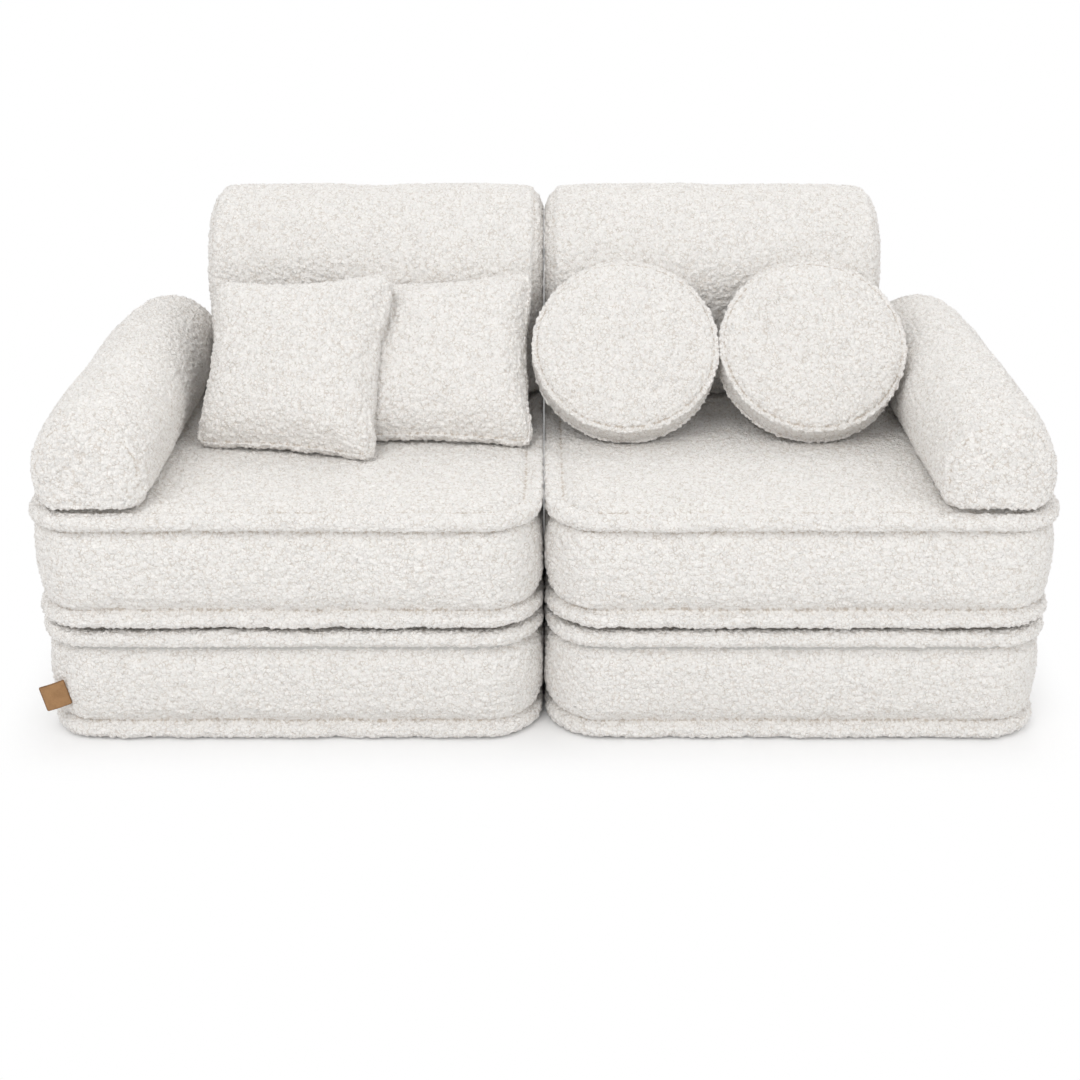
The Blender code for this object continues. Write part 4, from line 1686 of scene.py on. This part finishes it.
@dataclass
class Bolster:
    """A half-round back or arm, made along X and then turned into its place.

    Attributes:
        title: Name that the frame's nodes start with, which is also the body's.
        length: Size along its own X.
        width: Size across.
        height: Size up.
        turn: Turn about Z, in degrees.
        across: Cells of an end panel across.
        along: Cells of an end panel up.
        foot: Radius where the round side meets the bottom.
        end_radius: Radius of the rounded ends.
        end_crown: Rise of an end panel.
        meeting_end: End that faces the other back, -1 or 1, or 0 for none.
        meeting_crown: How much farther that end's panel rises.
        end_lift: How far the bottom lifts at the ends.
        bulge: How far the cover swells between its ends.
        slack: How far the form stays inside, for the cloth to fill.
        foam_room: Room between the cover and the foam.
        zip_rise: Height of the zip.
        zip_inset: How far its tapes lie in from the outside.
        zip_margin: Room between the zip and an end.
    """

    title: str
    length: float
    width: float
    height: float
    turn: float
    across: int
    along: int
    foot: float = 0.022
    end_radius: float = 0.024
    end_crown: float = 0.003
    meeting_end: int = 0
    meeting_crown: float = 0.0042
    end_lift: float = 0.002
    bulge: float = 0.004
    slack: float = 0.0015
    foam_room: float = 0.013
    zip_rise: float = 0.034
    zip_inset: float = 0.007
    zip_margin: float = 0.060

    @property
    def home(self) -> Matrix:
        """Matrix from the piece's own frame into the sofa's."""
        low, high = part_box(self.title + "_cover")
        place = Vector(((low.x + high.x) / 2, (low.y + high.y) / 2, low.z))
        return Matrix.Translation(place) @ Matrix.Rotation(math.radians(self.turn), 4, "Z")

    def section(
        self, width: float, height: float, foot: float, across: int, along: int
    ) -> np.ndarray:
        """Half-round section, started at the middle of its first foot.

        Args:
            width: Size across.
            height: Size up.
            foot: Radius of its feet.
            across: Cells along the bottom, and as many over the top.
            along: Cells up each side.

        Returns:
            Places across and up.
        """
        radius = width / 2
        spring = height - radius
        left, right, top = (foot - radius, foot), (radius - foot, foot), (0.0, spring)
        sides = (
            (np.vstack((arc(left, foot, 225, 270), arc(right, foot, 270, 315))), across),
            (np.vstack((arc(right, foot, 315, 360), arc(top, radius, 0, 45))), along),
            (arc(top, radius, 45, 135), across),
            (np.vstack((arc(top, radius, 135, 180), arc(left, foot, 180, 225))), along),
        )
        return np.vstack([resample(line, cells)[:, :2] for line, cells in sides])

    def stations(self) -> list[tuple[float, float, float, float]]:
        """Place along X, inset, bulge and closeness to a seam of each ring of one half."""
        face = self.length / 2 - self.end_crown
        found = []
        for degrees in (0, 15, 30, 45, 60, 75, 90):
            angle = math.radians(degrees)
            inset = self.end_radius * (1 - math.sin(angle))
            near = 0.7 if degrees == 45 else 0.0
            found.append((face - self.end_radius * (1 - math.cos(angle)), inset, 0.0, near))
        start = found[-1][0]
        count = max(2, round(start / 0.0062))
        for step in range(1, count + 1):
            x = start * (1 - step / count)
            share = min(1.0, (start - x) / (self.length / 4))
            found.append((x, 0.0, self.bulge * math.sin(RIGHT_ANGLE * share), 0.0))
        return found

    def cover(self) -> bpy.types.Object:
        """Make the cover's form, a little slimmer than it ends.

        Returns:
            The object, in its own frame.
        """
        base_width = self.width - 2 * self.bulge
        base_height = self.height - self.bulge
        section = self.section(base_width, base_height, self.foot, self.across, self.along)
        skin = Skin(self.across, self.along)
        half = self.stations()
        mirrored = [(-x, inset, bulge, close) for x, inset, bulge, close in half]
        for x, inset, bulge, close in mirrored + half[-2::-1]:
            bulge -= self.slack
            wide = 1 + 2 * (bulge - inset) / base_width
            foot = self.end_lift * inset / self.end_radius
            tall = 1 + (bulge - inset - foot) / base_height
            skin.add(section * (wide, tall) + (0.0, foot), x, close)
        obj = skin.build(self.title + "_boucle", self.end_rise(-1), self.end_rise(1))
        obj.data.transform(ALONG_X)
        hold(obj, (marked(obj.data, "seam") > 0.5) | (read_points(obj.data)[:, 2] < 0.001))
        return obj

    def end_rise(self, way: int) -> Lift:
        """Low crown of an end panel.

        Args:
            way: Direction that it crowns to, -1 or 1.

        Returns:
            The rise of the panel's points.
        """

        crown = self.end_crown + (self.meeting_crown if way == self.meeting_end else 0.0)

        def rise(points: np.ndarray, across: np.ndarray, along: np.ndarray) -> np.ndarray:
            """Crown the panel toward its middle."""
            return way * crown * dome(across, along) ** 0.5

        return rise

    def finish_cover(self, obj: bpy.types.Object, seed: float) -> None:
        """Loosen, dress and place a swollen cover.

        Args:
            obj: The cover, in its own frame.
            seed: Shift of the noise.
        """
        mesh = obj.data
        points, normals = read_points(mesh), read_normals(mesh)
        slack = smooth_noise(points, 0.09, seed)
        seam = marked(mesh, "seam")
        above = np.clip(points[:, 2] / 0.02, 0, 1)
        points += normals * (0.0022 * slack * above - 0.0022 * seam)[:, None]
        reach = self.length / 2 - self.zip_margin
        past = np.clip(np.abs(points[:, 0]) - reach, 0, None)
        line = np.hypot(points[:, 2] - self.zip_rise, past)
        press = np.exp(-((line / 0.0055) ** 4)) * (points[:, 1] > 0)
        floor = self.width / 2 - self.zip_inset - ZIP_BED
        points[:, 1] += (np.minimum(points[:, 1], floor) - points[:, 1]) * press
        ends = [self.length / 2 + self.meeting_crown * (self.meeting_end == way) for way in (-1, 1)]
        low = np.array((-ends[0], -self.width / 2, 0.0003))
        high = np.array((ends[1], self.width / 2, self.height))
        points = np.clip(points, low, high)
        write_points(mesh, points)
        mesh.transform(self.home)
        Nap().raise_on(obj)
        clear_channel(obj, self.title, np.array(self.home)[:3, 1])
        keep_apart(obj, 1 if self.home.translation.x > 0 else -1)
        place_on_frame(obj, self.title, Slot.BOUCLE, self.title + "_cover")

    def foam(self) -> None:
        """Make the foam inside the cover."""
        room, cells = self.foam_room, (14, 12)
        inset = room + self.bulge
        wide, tall = self.width - 2 * inset, self.height - 2 * inset
        section = self.section(wide, tall, self.foot - room, *cells) + (0.0, inset)
        skin = Skin(*cells)
        end = self.length / 2 - room - self.end_crown
        soft = end - 0.003
        for x, scale in ((-end, 0.97), (-soft, 1.0), (0.0, 1.0), (soft, 1.0), (end, 0.97)):
            skin.add((section - (0.0, inset)) * scale + (0.0, inset), x)
        obj = skin.build(self.title + "_core")
        obj.data.transform(self.home @ ALONG_X)
        obj.data.materials.append(FOAM.material())
        place_on_frame(obj, self.title, Slot.FOAM, self.title + "_foam")

    def zip(self) -> None:
        """Make the zip and its slider on the rear or outer side."""
        reach = self.length / 2 - self.zip_margin
        straight_zip(self.title, self.home, reach, self.width / 2 - self.zip_inset, self.zip_rise)


# ---------------------------------------------------------------------------------------
# Pillows


@dataclass
class Pillow:
    """What the two kinds of pillow share: where they lean, and their zip.

    Attributes:
        title: Name that the frame's nodes start with, which is also the body's.
        lean: Degrees that it leans back.
        yaw: Degrees that it turns about the upright.
        roll: Degrees that it rolls in its own plane.
        zip_length: Length of the zip.
        zip_drop: How far it lies below the middle.
        zip_recess: How deep its tapes lie in the rear face.
    """

    title: str
    lean: float
    yaw: float = 0.0
    roll: float = 0.0
    zip_length: float = 0.120
    zip_drop: float = 0.066
    zip_recess: float = 0.004

    @property
    def home(self) -> Matrix:
        """Matrix from the pillow's own frame, its faces along Y, into the sofa's."""
        turn = (
            Matrix.Rotation(math.radians(self.yaw), 4, "Z")
            @ Matrix.Rotation(math.radians(-self.lean), 4, "X")
            @ Matrix.Rotation(math.radians(self.roll), 4, "Y")
        )
        points = read_points(frame["nodes"][self.title + "_filling"].data)
        own = points @ np.array(turn.to_3x3())
        middle = Vector((own.min(axis=0) + own.max(axis=0)) / 2)
        return turn @ Matrix.Translation(middle)

    def rear(self) -> float:
        """How far the rear face lies from the middle at the zip."""
        raise NotImplementedError

    def zip(self) -> None:
        """Make the zip and its slider on the rear face."""
        depth = self.rear() - self.zip_recess
        straight_zip(self.title, self.home, self.zip_length / 2, depth, -self.zip_drop, 24)

    def press_zip(self, points: np.ndarray) -> np.ndarray:
        """Press the channel of the zip into the rear face.

        Args:
            points: Places in the pillow's own frame.

        Returns:
            The places with the channel.
        """
        side = np.clip(np.abs(points[:, 0]) - self.zip_length / 2, 0, None)
        line = np.hypot(points[:, 2] + self.zip_drop, side)
        press = np.exp(-((line / 0.0052) ** 4)) * (points[:, 1] > 0)
        floor = self.rear() - self.zip_recess - ZIP_BED
        moved = points[:, 1] + (np.minimum(points[:, 1], floor) - points[:, 1]) * press
        return np.column_stack((points[:, 0], moved, points[:, 2]))

    def dress(self, obj: bpy.types.Object, seed: float, fill: float) -> None:
        """Place a finished cover and raise its nap.

        Args:
            obj: The cover, in its own frame.
            seed: Shift of the noise.
            fill: How full the pillow is; not used.
        """
        mesh = obj.data
        points, normals = read_points(mesh), read_normals(mesh)
        slack = smooth_noise(points, 0.05, seed)
        points += normals * (0.0016 * slack)[:, None]
        write_points(mesh, self.press_zip(points))
        mesh.transform(self.home)
        Nap().raise_on(obj)
        clear_channel(obj, self.title, np.array(self.home)[:3, 1])
        place_on_frame(obj, self.title, Slot.BOUCLE, self.title + "_cover")


@dataclass
class SquarePillow(Pillow):
    """A square pillow with drawn-in sides and a rolled seam.

    Attributes:
        side: Length of a side between two tips.
        thick: Thickness in the middle.
        edge: Thickness at the edge of the filling.
        draw_in: How far a side is drawn in between its tips.
        tip_round: How far a tip is drawn in.
        tip_softness: How far the outline is smoothed, in shares of a side's cells.
        fuller: How much the cover swells beside its seam, but not at the bottom.
        full_edge: Share of the way out from the middle where that swelling begins.
        full_fade: Share of the way in which it grows to its full size.
        slump: How much lower one side hangs.
        cells: Cells along a side.
    """

    side: float = 0.275
    thick: float = 0.088
    edge: float = 0.007
    draw_in: float = 0.008
    tip_round: float = 0.009
    tip_softness: float = 0.30
    fuller: float = 0.0075
    full_edge: float = 0.990
    full_fade: float = 0.032
    slump: float = 0.06
    cells: int = 50

    def outline(self, side: float, cells: int) -> np.ndarray:
        """Edge of the pillow, started at a tip.

        Args:
            side: Length of a side between two tips.
            cells: Cells along a side.

        Returns:
            Places across and up.
        """
        half = side / 2
        share = np.linspace(-1, 1, 61)
        out = half - self.draw_in * (1 - share**2)
        tip = self.tip_round * np.clip((np.abs(share) - 0.9) / 0.1, 0, 1) ** 2
        line = np.stack((half * share, -(out - tip)), axis=1)
        sides = []
        for quarter in range(4):
            angle = RIGHT_ANGLE * quarter
            cosine, sine = math.cos(angle), math.sin(angle)
            turn = np.array(((cosine, -sine), (sine, cosine)))
            sides.append(resample(line @ turn.T, cells))
        ring = np.vstack(sides)
        for _ in range(round(self.tip_softness * cells)):
            ring = (np.roll(ring, 1, axis=0) + 2 * ring + np.roll(ring, -1, axis=0)) / 4
        ring[:, 1] *= 1 + self.slump * ring[:, 0] / half
        return ring

    def rear(self) -> float:
        """How far the rear face lies from the middle at the zip."""
        share = 2 * (self.zip_drop + 0.004) / self.side
        rise = (1 - share**2) ** 0.6
        return self.edge / 2 + (self.thick - self.edge) / 2 * rise

    def face_rise(self, way: int, thick: float, edge: float) -> Lift:
        """Crown of a face.

        Args:
            way: Direction that it crowns to, -1 or 1.
            thick: Thickness in the middle.
            edge: Thickness at the edge.

        Returns:
            The rise of the face's points.
        """

        def rise(points: np.ndarray, across: np.ndarray, along: np.ndarray) -> np.ndarray:
            """Swell the face steeply from its edge."""
            return way * (thick - edge) / 2 * dome(across, along) ** 0.45

        return rise

    def form(self, name: str, inset: float, cells: int, rolled: bool) -> bpy.types.Object:
        """Make a square form.

        Args:
            name: Name of the object.
            inset: How far it is drawn in.
            cells: Cells along a side.
            rolled: Whether a rolled seam goes round it.

        Returns:
            The object, in its own frame, with the attribute "seam".
        """
        ring = self.outline(self.side - 2 * inset, cells)
        skin = Skin(cells, cells)
        rows = ((1.0, self.edge / 2, 0.0),)
        if rolled:
            rows = (
                (0.958, 0.0045, 0.9),
                (0.968, 0.0080, 0.2),
                (0.985, 0.0085, 0.0),
                (0.998, 0.0050, 0.0),
            )
        bottom = np.clip(-ring[:, 1] / (self.side / 2) * 4 - 2.6, 0, 1)
        full = self.fuller * (1 - bottom) * rolled
        for share, y, close in both_ways(rows):
            fades = np.clip((self.full_edge - share) / self.full_fade, 0, 1)
            swell = math.copysign(1, y) * full * fades
            skin.add(ring * share, y + swell, close * (0.15 + 0.85 * bottom))
        thick = self.thick - 2 * inset
        edge = 2 * rows[0][1] + self.fuller * rolled
        obj = skin.build(name, self.face_rise(-1, thick, edge), self.face_rise(1, thick, edge))
        obj.data.transform(UPRIGHT)
        return obj

    def cover(self) -> bpy.types.Object:
        """Make the cover's form, held along its seam.

        Returns:
            The object, in its own frame.
        """
        obj = self.form(self.title + "_boucle", 0.0012, self.cells, rolled=True)
        hold(obj, marked(obj.data, "seam") > 0.12)
        return obj

    def filling(self) -> None:
        """Make the fibre filling inside the cover."""
        obj = self.form(self.title + "_stuffing", 0.0115, 16, rolled=False)
        obj.data.transform(self.home)
        obj.data.materials.append(FIBRE.material())
        place_on_frame(obj, self.title, Slot.FIBRE, self.title + "_filling")


@dataclass
class RoundPillow(Pillow):
    """A round pillow with a band between two seams.

    Attributes:
        diameter: Its diameter.
        thick: Thickness in the middle.
        band: Width of the band.
        welt: Size of the gathered seam.
        cells: Cells along a quarter.
    """

    diameter: float = 0.273
    thick: float = 0.074
    band: float = 0.052
    welt: float = 0.004
    cells: int = 37

    def rear(self) -> float:
        """How far the rear face lies from the middle at the zip."""
        return self.band / 2 + self.welt

    def circle(self, radius: float, squared: float, cells: int) -> np.ndarray:
        """A ring between a circle and a round-cornered square.

        Args:
            radius: Radius of the circle.
            squared: Share of the square.
            cells: Cells along a quarter.

        Returns:
            Places across and up.
        """
        angles = np.radians(225 + np.arange(4 * cells) * 90 / cells)
        ring = np.stack((np.cos(angles), np.sin(angles)), axis=1)
        power = 4.0
        reach = (np.abs(ring[:, 0]) ** power + np.abs(ring[:, 1]) ** power) ** (-1 / power)
        square = ring * reach[:, None] * 0.92
        return radius * (ring * (1 - squared) + square * squared)

    def crown(self, radius: np.ndarray | float) -> np.ndarray | float:
        """Half thickness at a distance from the middle.

        Args:
            radius: The distance.

        Returns:
            The half thickness.
        """
        rim = self.diameter / 2 - 2 * self.welt
        share = np.clip(radius / rim, 0, 1)
        flat = self.band / 2 - self.welt / 2
        return flat + (self.thick / 2 - flat) * (1 - share**2) ** 0.45

    def cover(self) -> bpy.types.Object:
        """Make the cover's form, held along its two seams.

        Returns:
            The object, in its own frame.
        """
        rim = self.diameter / 2 - 2 * self.welt
        edge = self.diameter / 2 - 0.001
        half = self.band / 2
        skin = Skin(self.cells, self.cells)
        face: list[tuple] = []
        for step in range(9):
            share = 0.62 + 0.36 * step / 8
            ring = self.circle(rim * share, 1 - step / 8, self.cells)
            height = self.crown(np.linalg.norm(ring, axis=1))
            face.append((ring, height, 0.0))
        side = (
            (rim, half - self.welt * 0.75, 1.0),
            (edge - self.welt, half + self.welt * 0.35, 0.0),
            (edge - self.welt * 0.2, half - self.welt * 0.2, 0.0),
            (edge, half - self.welt, 0.0),
            (edge - self.welt * 0.55, half - self.welt * 2.1, 0.7),
            (edge - self.welt * 0.15, half - self.welt * 3.2, 0.0),
            (edge, half - self.welt * 4.8, 0.0),
        )
        for radius, height, close in side:
            face.append((self.circle(radius, 0.0, self.cells), height, close))
        for ring, height, close in both_ways(face):
            skin.add(ring, height, close)

        def rise(points: np.ndarray, across: np.ndarray, along: np.ndarray) -> np.ndarray:
            """Bring the panel's points onto the crown."""
            height = self.crown(np.hypot(points[:, 0], points[:, 1]))
            return np.sign(points[:, 2]) * height - points[:, 2]

        obj = skin.build(self.title + "_boucle", rise, rise)
        obj.data.transform(UPRIGHT)
        hold(obj, marked(obj.data, "seam") > 0.6)
        return obj

    def filling(self) -> None:
        """Make the fibre filling inside the cover."""
        cells, inset = 14, 0.0115
        radius = self.diameter / 2 - inset
        half = self.band / 2 - inset + self.welt
        skin = Skin(cells, cells)
        rows = ((0.6, half), (0.96, half - 0.0005), (1.0, half - self.welt))
        for share, height in both_ways(rows):
            skin.add(self.circle(radius * share, float(share < 0.9), cells), height)
        obj = skin.build(self.title + "_stuffing")
        obj.data.transform(self.home @ UPRIGHT)
        obj.data.materials.append(FIBRE.material())
        place_on_frame(obj, self.title, Slot.FIBRE, self.title + "_filling")


# ---------------------------------------------------------------------------------------
# Tag and studio


@dataclass
class LeatherTag:
    """Blank leather tag stitched into the corner seam.

    Attributes:
        node: CAD node of the tag.
        long: How far it stands out of the seam.
        tall: Its height.
        thick: Its thickness.
        turn: Degrees that it turns about the upright.
        droop: Degrees that its free end hangs down.
        corner: Radius of its corners.
    """

    node: str = "leather_tag"
    long: float = 0.0352
    tall: float = 0.040
    thick: float = 0.0026
    turn: float = 199.0
    droop: float = 11.0
    corner: float = 0.0022

    def build(self) -> None:
        """Make the bent tag and let it stand for its node."""
        turn = Matrix.Rotation(math.radians(self.turn), 4, "Z") @ Matrix.Rotation(
            math.radians(self.droop), 4, "Y"
        )
        points = read_points(frame["nodes"][self.node].data)
        own = points @ np.array(turn.to_3x3())
        middle = Vector((own.min(axis=0) + own.max(axis=0)) / 2)
        cells = 22
        skin = Skin(cells, cells)
        x, y = self.long / 2 - self.corner, self.tall / 2 - self.corner
        outline = round_rectangle(x, y, self.corner, (cells,) * 4)
        half = self.thick / 2
        rows = (
            (0.0022, half, 0.0),
            (0.0009, half, 0.6),
            (0.0003, half - 0.0002, 1.0),
            (0.0, half - 0.0006, 1.0),
        )
        for inset, z, close in both_ways(rows):
            skin.add(outline[:, :2] - outline[:, 2:] * inset, z, close)
        obj = skin.build(self.node + "_hide")
        mesh = obj.data
        mesh.transform(UPRIGHT)
        points = read_points(mesh)
        free = points[:, 0] / self.long + 0.5
        points[:, 1] += 0.0012 * np.sin(math.pi * free) - 0.0008 * free * np.cos(points[:, 2] * 70)
        write_points(mesh, points)
        mesh.transform(turn @ Matrix.Translation(middle))
        mesh.materials.append(LEATHER.material())
        place_on_frame(obj, "seat_left_base", Slot.LEATHER, self.node)


@dataclass
class Studio:
    """Pale floor, soft light and the camera at the photograph's angle.

    Attributes:
        spread: Half size of the floor.
        ambient: Level of the world's light.
        footprint: Half sizes of the floor that the sofa covers.
        shadow_reach: How far from the sofa its shadow can be seen.
    """

    spread: float = 6.0
    ambient: float = 0.75
    footprint: tuple[float, float] = (0.66, 0.35)
    shadow_reach: float = 0.13

    def floor(self) -> None:
        """Make the floor, white to the camera but for a light shadow."""
        bm = bmesh.new()
        bmesh.ops.create_grid(bm, x_segments=8, y_segments=8, size=self.spread)
        bmesh.ops.translate(bm, verts=bm.verts, vec=(0, 0, -0.0005))
        mesh = bpy.data.meshes.new("floor")
        bm.to_mesh(mesh)
        bm.free()
        material = bpy.data.materials.new("pale_floor")
        material.use_nodes = True
        material.node_tree.nodes.clear()
        bench = Bench(material.node_tree)
        place = bench.add("ShaderNodeTexCoord").outputs["Object"]
        apart = bench.add("ShaderNodeSeparateXYZ", {0: place}).outputs
        cloud = bench.add("ShaderNodeTexNoise", {"Vector": place, "Scale": 3.0})
        tint = bench.span(cloud.outputs[0], 0.0, 1.0, (0.90, 0.92))
        paint = bench.add("ShaderNodeBsdfDiffuse", {"Color": tint})
        glow = bench.add("ShaderNodeEmission", {"Color": (1, 1, 1, 1), "Strength": 1.0})
        away = []
        for axis, reach in zip((0, 1), self.footprint):
            past = bench.sum("SUBTRACT", bench.sum("ABSOLUTE", apart[axis]), reach)
            away.append(bench.sum("POWER", bench.sum("MAXIMUM", past, 0.0), 2.0))
        distance = bench.sum("SQRT", bench.sum("ADD", away[0], away[1]))
        clear = bench.span(distance, 0.0, self.shadow_reach, (0.0, 1.0))
        share = bench.sum("MULTIPLY", self.seen(bench), clear)
        both = bench.add(
            "ShaderNodeMixShader", {0: share, 1: paint.outputs[0], 2: glow.outputs[0]}
        )
        bench.add("ShaderNodeOutputMaterial", {"Surface": both.outputs[0]})
        mesh.materials.append(material)
        add_object("floor", mesh)

    def seen(self, bench: Bench) -> bpy.types.NodeSocket:
        """One where a ray comes from the camera or by way of metal or glass.

        Args:
            bench: Bench of the tree.

        Returns:
            The socket.
        """
        path = bench.add("ShaderNodeLightPath").outputs
        total = bench.sum("ADD", path["Is Camera Ray"], path["Is Glossy Ray"])
        total = bench.sum("ADD", total, path["Is Transmission Ray"])
        return bench.sum("MINIMUM", total, 1.0)

    def world(self) -> None:
        """Light the object from all round and show white behind it."""
        world = bpy.data.worlds.new("studio")
        bpy.context.scene.world = world
        world.use_nodes = True
        world.node_tree.nodes.clear()
        bench = Bench(world.node_tree)
        strength = bench.sum(
            "ADD", bench.sum("MULTIPLY", self.seen(bench), 1 - self.ambient), self.ambient
        )
        white = bench.add("ShaderNodeBackground", {"Color": (1, 1, 1, 1), "Strength": strength})
        bench.add("ShaderNodeOutputWorld", {"Surface": white.outputs[0]})

    def lamp(self, name: str, place: Sequence[float], size: float, power: float) -> None:
        """Hang a soft square lamp that faces the sofa.

        Args:
            name: Name of the lamp.
            place: Where it hangs.
            size: Length of its side.
            power: Power in watts.
        """
        light = bpy.data.lights.new(name, "AREA")
        light.shape = "SQUARE"
        light.size = size
        light.energy = power
        obj = add_object(name, light)
        obj.location = place
        aim = Vector((0, 0, 0.3)) - Vector(place)
        obj.rotation_euler = aim.to_track_quat("-Z", "Y").to_euler()

    def camera(self) -> None:
        """Set the camera where the photograph was taken from."""
        data = bpy.data.cameras.new("camera")
        data.lens = 53.333
        data.sensor_width = 36.0
        data.shift_x = -0.0037
        data.shift_y = -0.0691
        obj = add_object("camera", data)
        obj.location = (0.0, -2.2884, 1.2425)
        obj.rotation_euler = (math.radians(66.735), 0.0, 0.0)
        bpy.context.scene.camera = obj

    def build(self) -> None:
        """Make the whole studio."""
        self.floor()
        self.world()
        self.lamp("key", (-1.4, -2.6, 3.2), 2.4, 51.0)
        self.lamp("fill", (2.2, -2.2, 2.0), 2.4, 19.0)
        self.lamp("rear", (0.6, 2.2, 3.4), 2.4, 30.0)
        self.camera()
        bpy.context.scene.view_settings.view_transform = "Standard"


# ---------------------------------------------------------------------------------------
# The sofa


@dataclass
class Sofa:
    """All of the sofa's pieces.

    Attributes:
        blocks: The four seat blocks.
        bolsters: The backs and arms.
        pillows: The four pillows.
    """

    blocks: list[SeatBlock] = field(default_factory=list)
    bolsters: list[Bolster] = field(default_factory=list)
    pillows: list[Pillow] = field(default_factory=list)

    def plan(self) -> None:
        """List the pieces."""
        for side in Side:
            self.blocks += [SeatBlock(side, level) for level in Level]
            back = Bolster(f"back_{side.label}", 0.514, 0.285, 0.304, 0.0, 42, 44)
            back.meeting_end = -side.value
            turn = -90.0 * side.value
            arm = Bolster(f"arm_{side.label}", 0.578, 0.161, 0.135, turn, 24, 19)
            self.bolsters += [back, arm]
        self.pillows = [
            SquarePillow("square_pillow_outer", 39.0, -11.0, -3.0),
            SquarePillow("square_pillow_inner", 45.0, -2.0, -2.0),
            RoundPillow("round_pillow_inner", 43.0),
            RoundPillow("round_pillow_outer", 43.0),
        ]

    def covers(self) -> None:
        """Make, swell and dress every cover, the right side's from the left side's."""
        half = len(self.blocks) // 2
        blocks = [block.cover() for block in self.blocks[:half]]
        bolsters = [bolster.cover() for bolster in self.bolsters[:half]]
        pillows = [pillow.cover() for pillow in self.pillows]
        Puff(cap=0.0035).swell(blocks)
        Puff(cap=0.0035).swell(bolsters)
        Puff(cap=0.006, spare=0.02).swell(pillows)
        for covers, pieces in ((blocks, self.blocks), (bolsters, self.bolsters)):
            for number, piece in enumerate(pieces[half:]):
                covers.append(twin(covers[number], piece.title + "_boucle"))
        for number, (block, cover) in enumerate(zip(self.blocks, blocks)):
            block.finish_cover(cover, 1.0 + number)
        for number, (bolster, cover) in enumerate(zip(self.bolsters, bolsters)):
            bolster.finish_cover(cover, 11.0 + number)
        for number, (pillow, cover) in enumerate(zip(self.pillows, pillows)):
            pillow.dress(cover, 21.0 + number, 0.85)

    def insides(self) -> None:
        """Make foams, fillings, zips, sliders, fold seams and the tag."""
        for block in self.blocks:
            block.foam()
            block.zip()
        for bolster in self.bolsters:
            bolster.foam()
            bolster.zip()
        for pillow in self.pillows:
            pillow.filling()
            pillow.zip()
        for side in Side:
            FoldSeam(side).build()
        LeatherTag().build()


def main() -> None:
    """Build the sofa and its studio."""
    logging.basicConfig(level=logging.INFO, format="%(name)s: %(message)s")
    Studio().build()
    sofa = Sofa()
    sofa.plan()
    sofa.covers()
    sofa.insides()


if __name__ == "__main__":
    main()
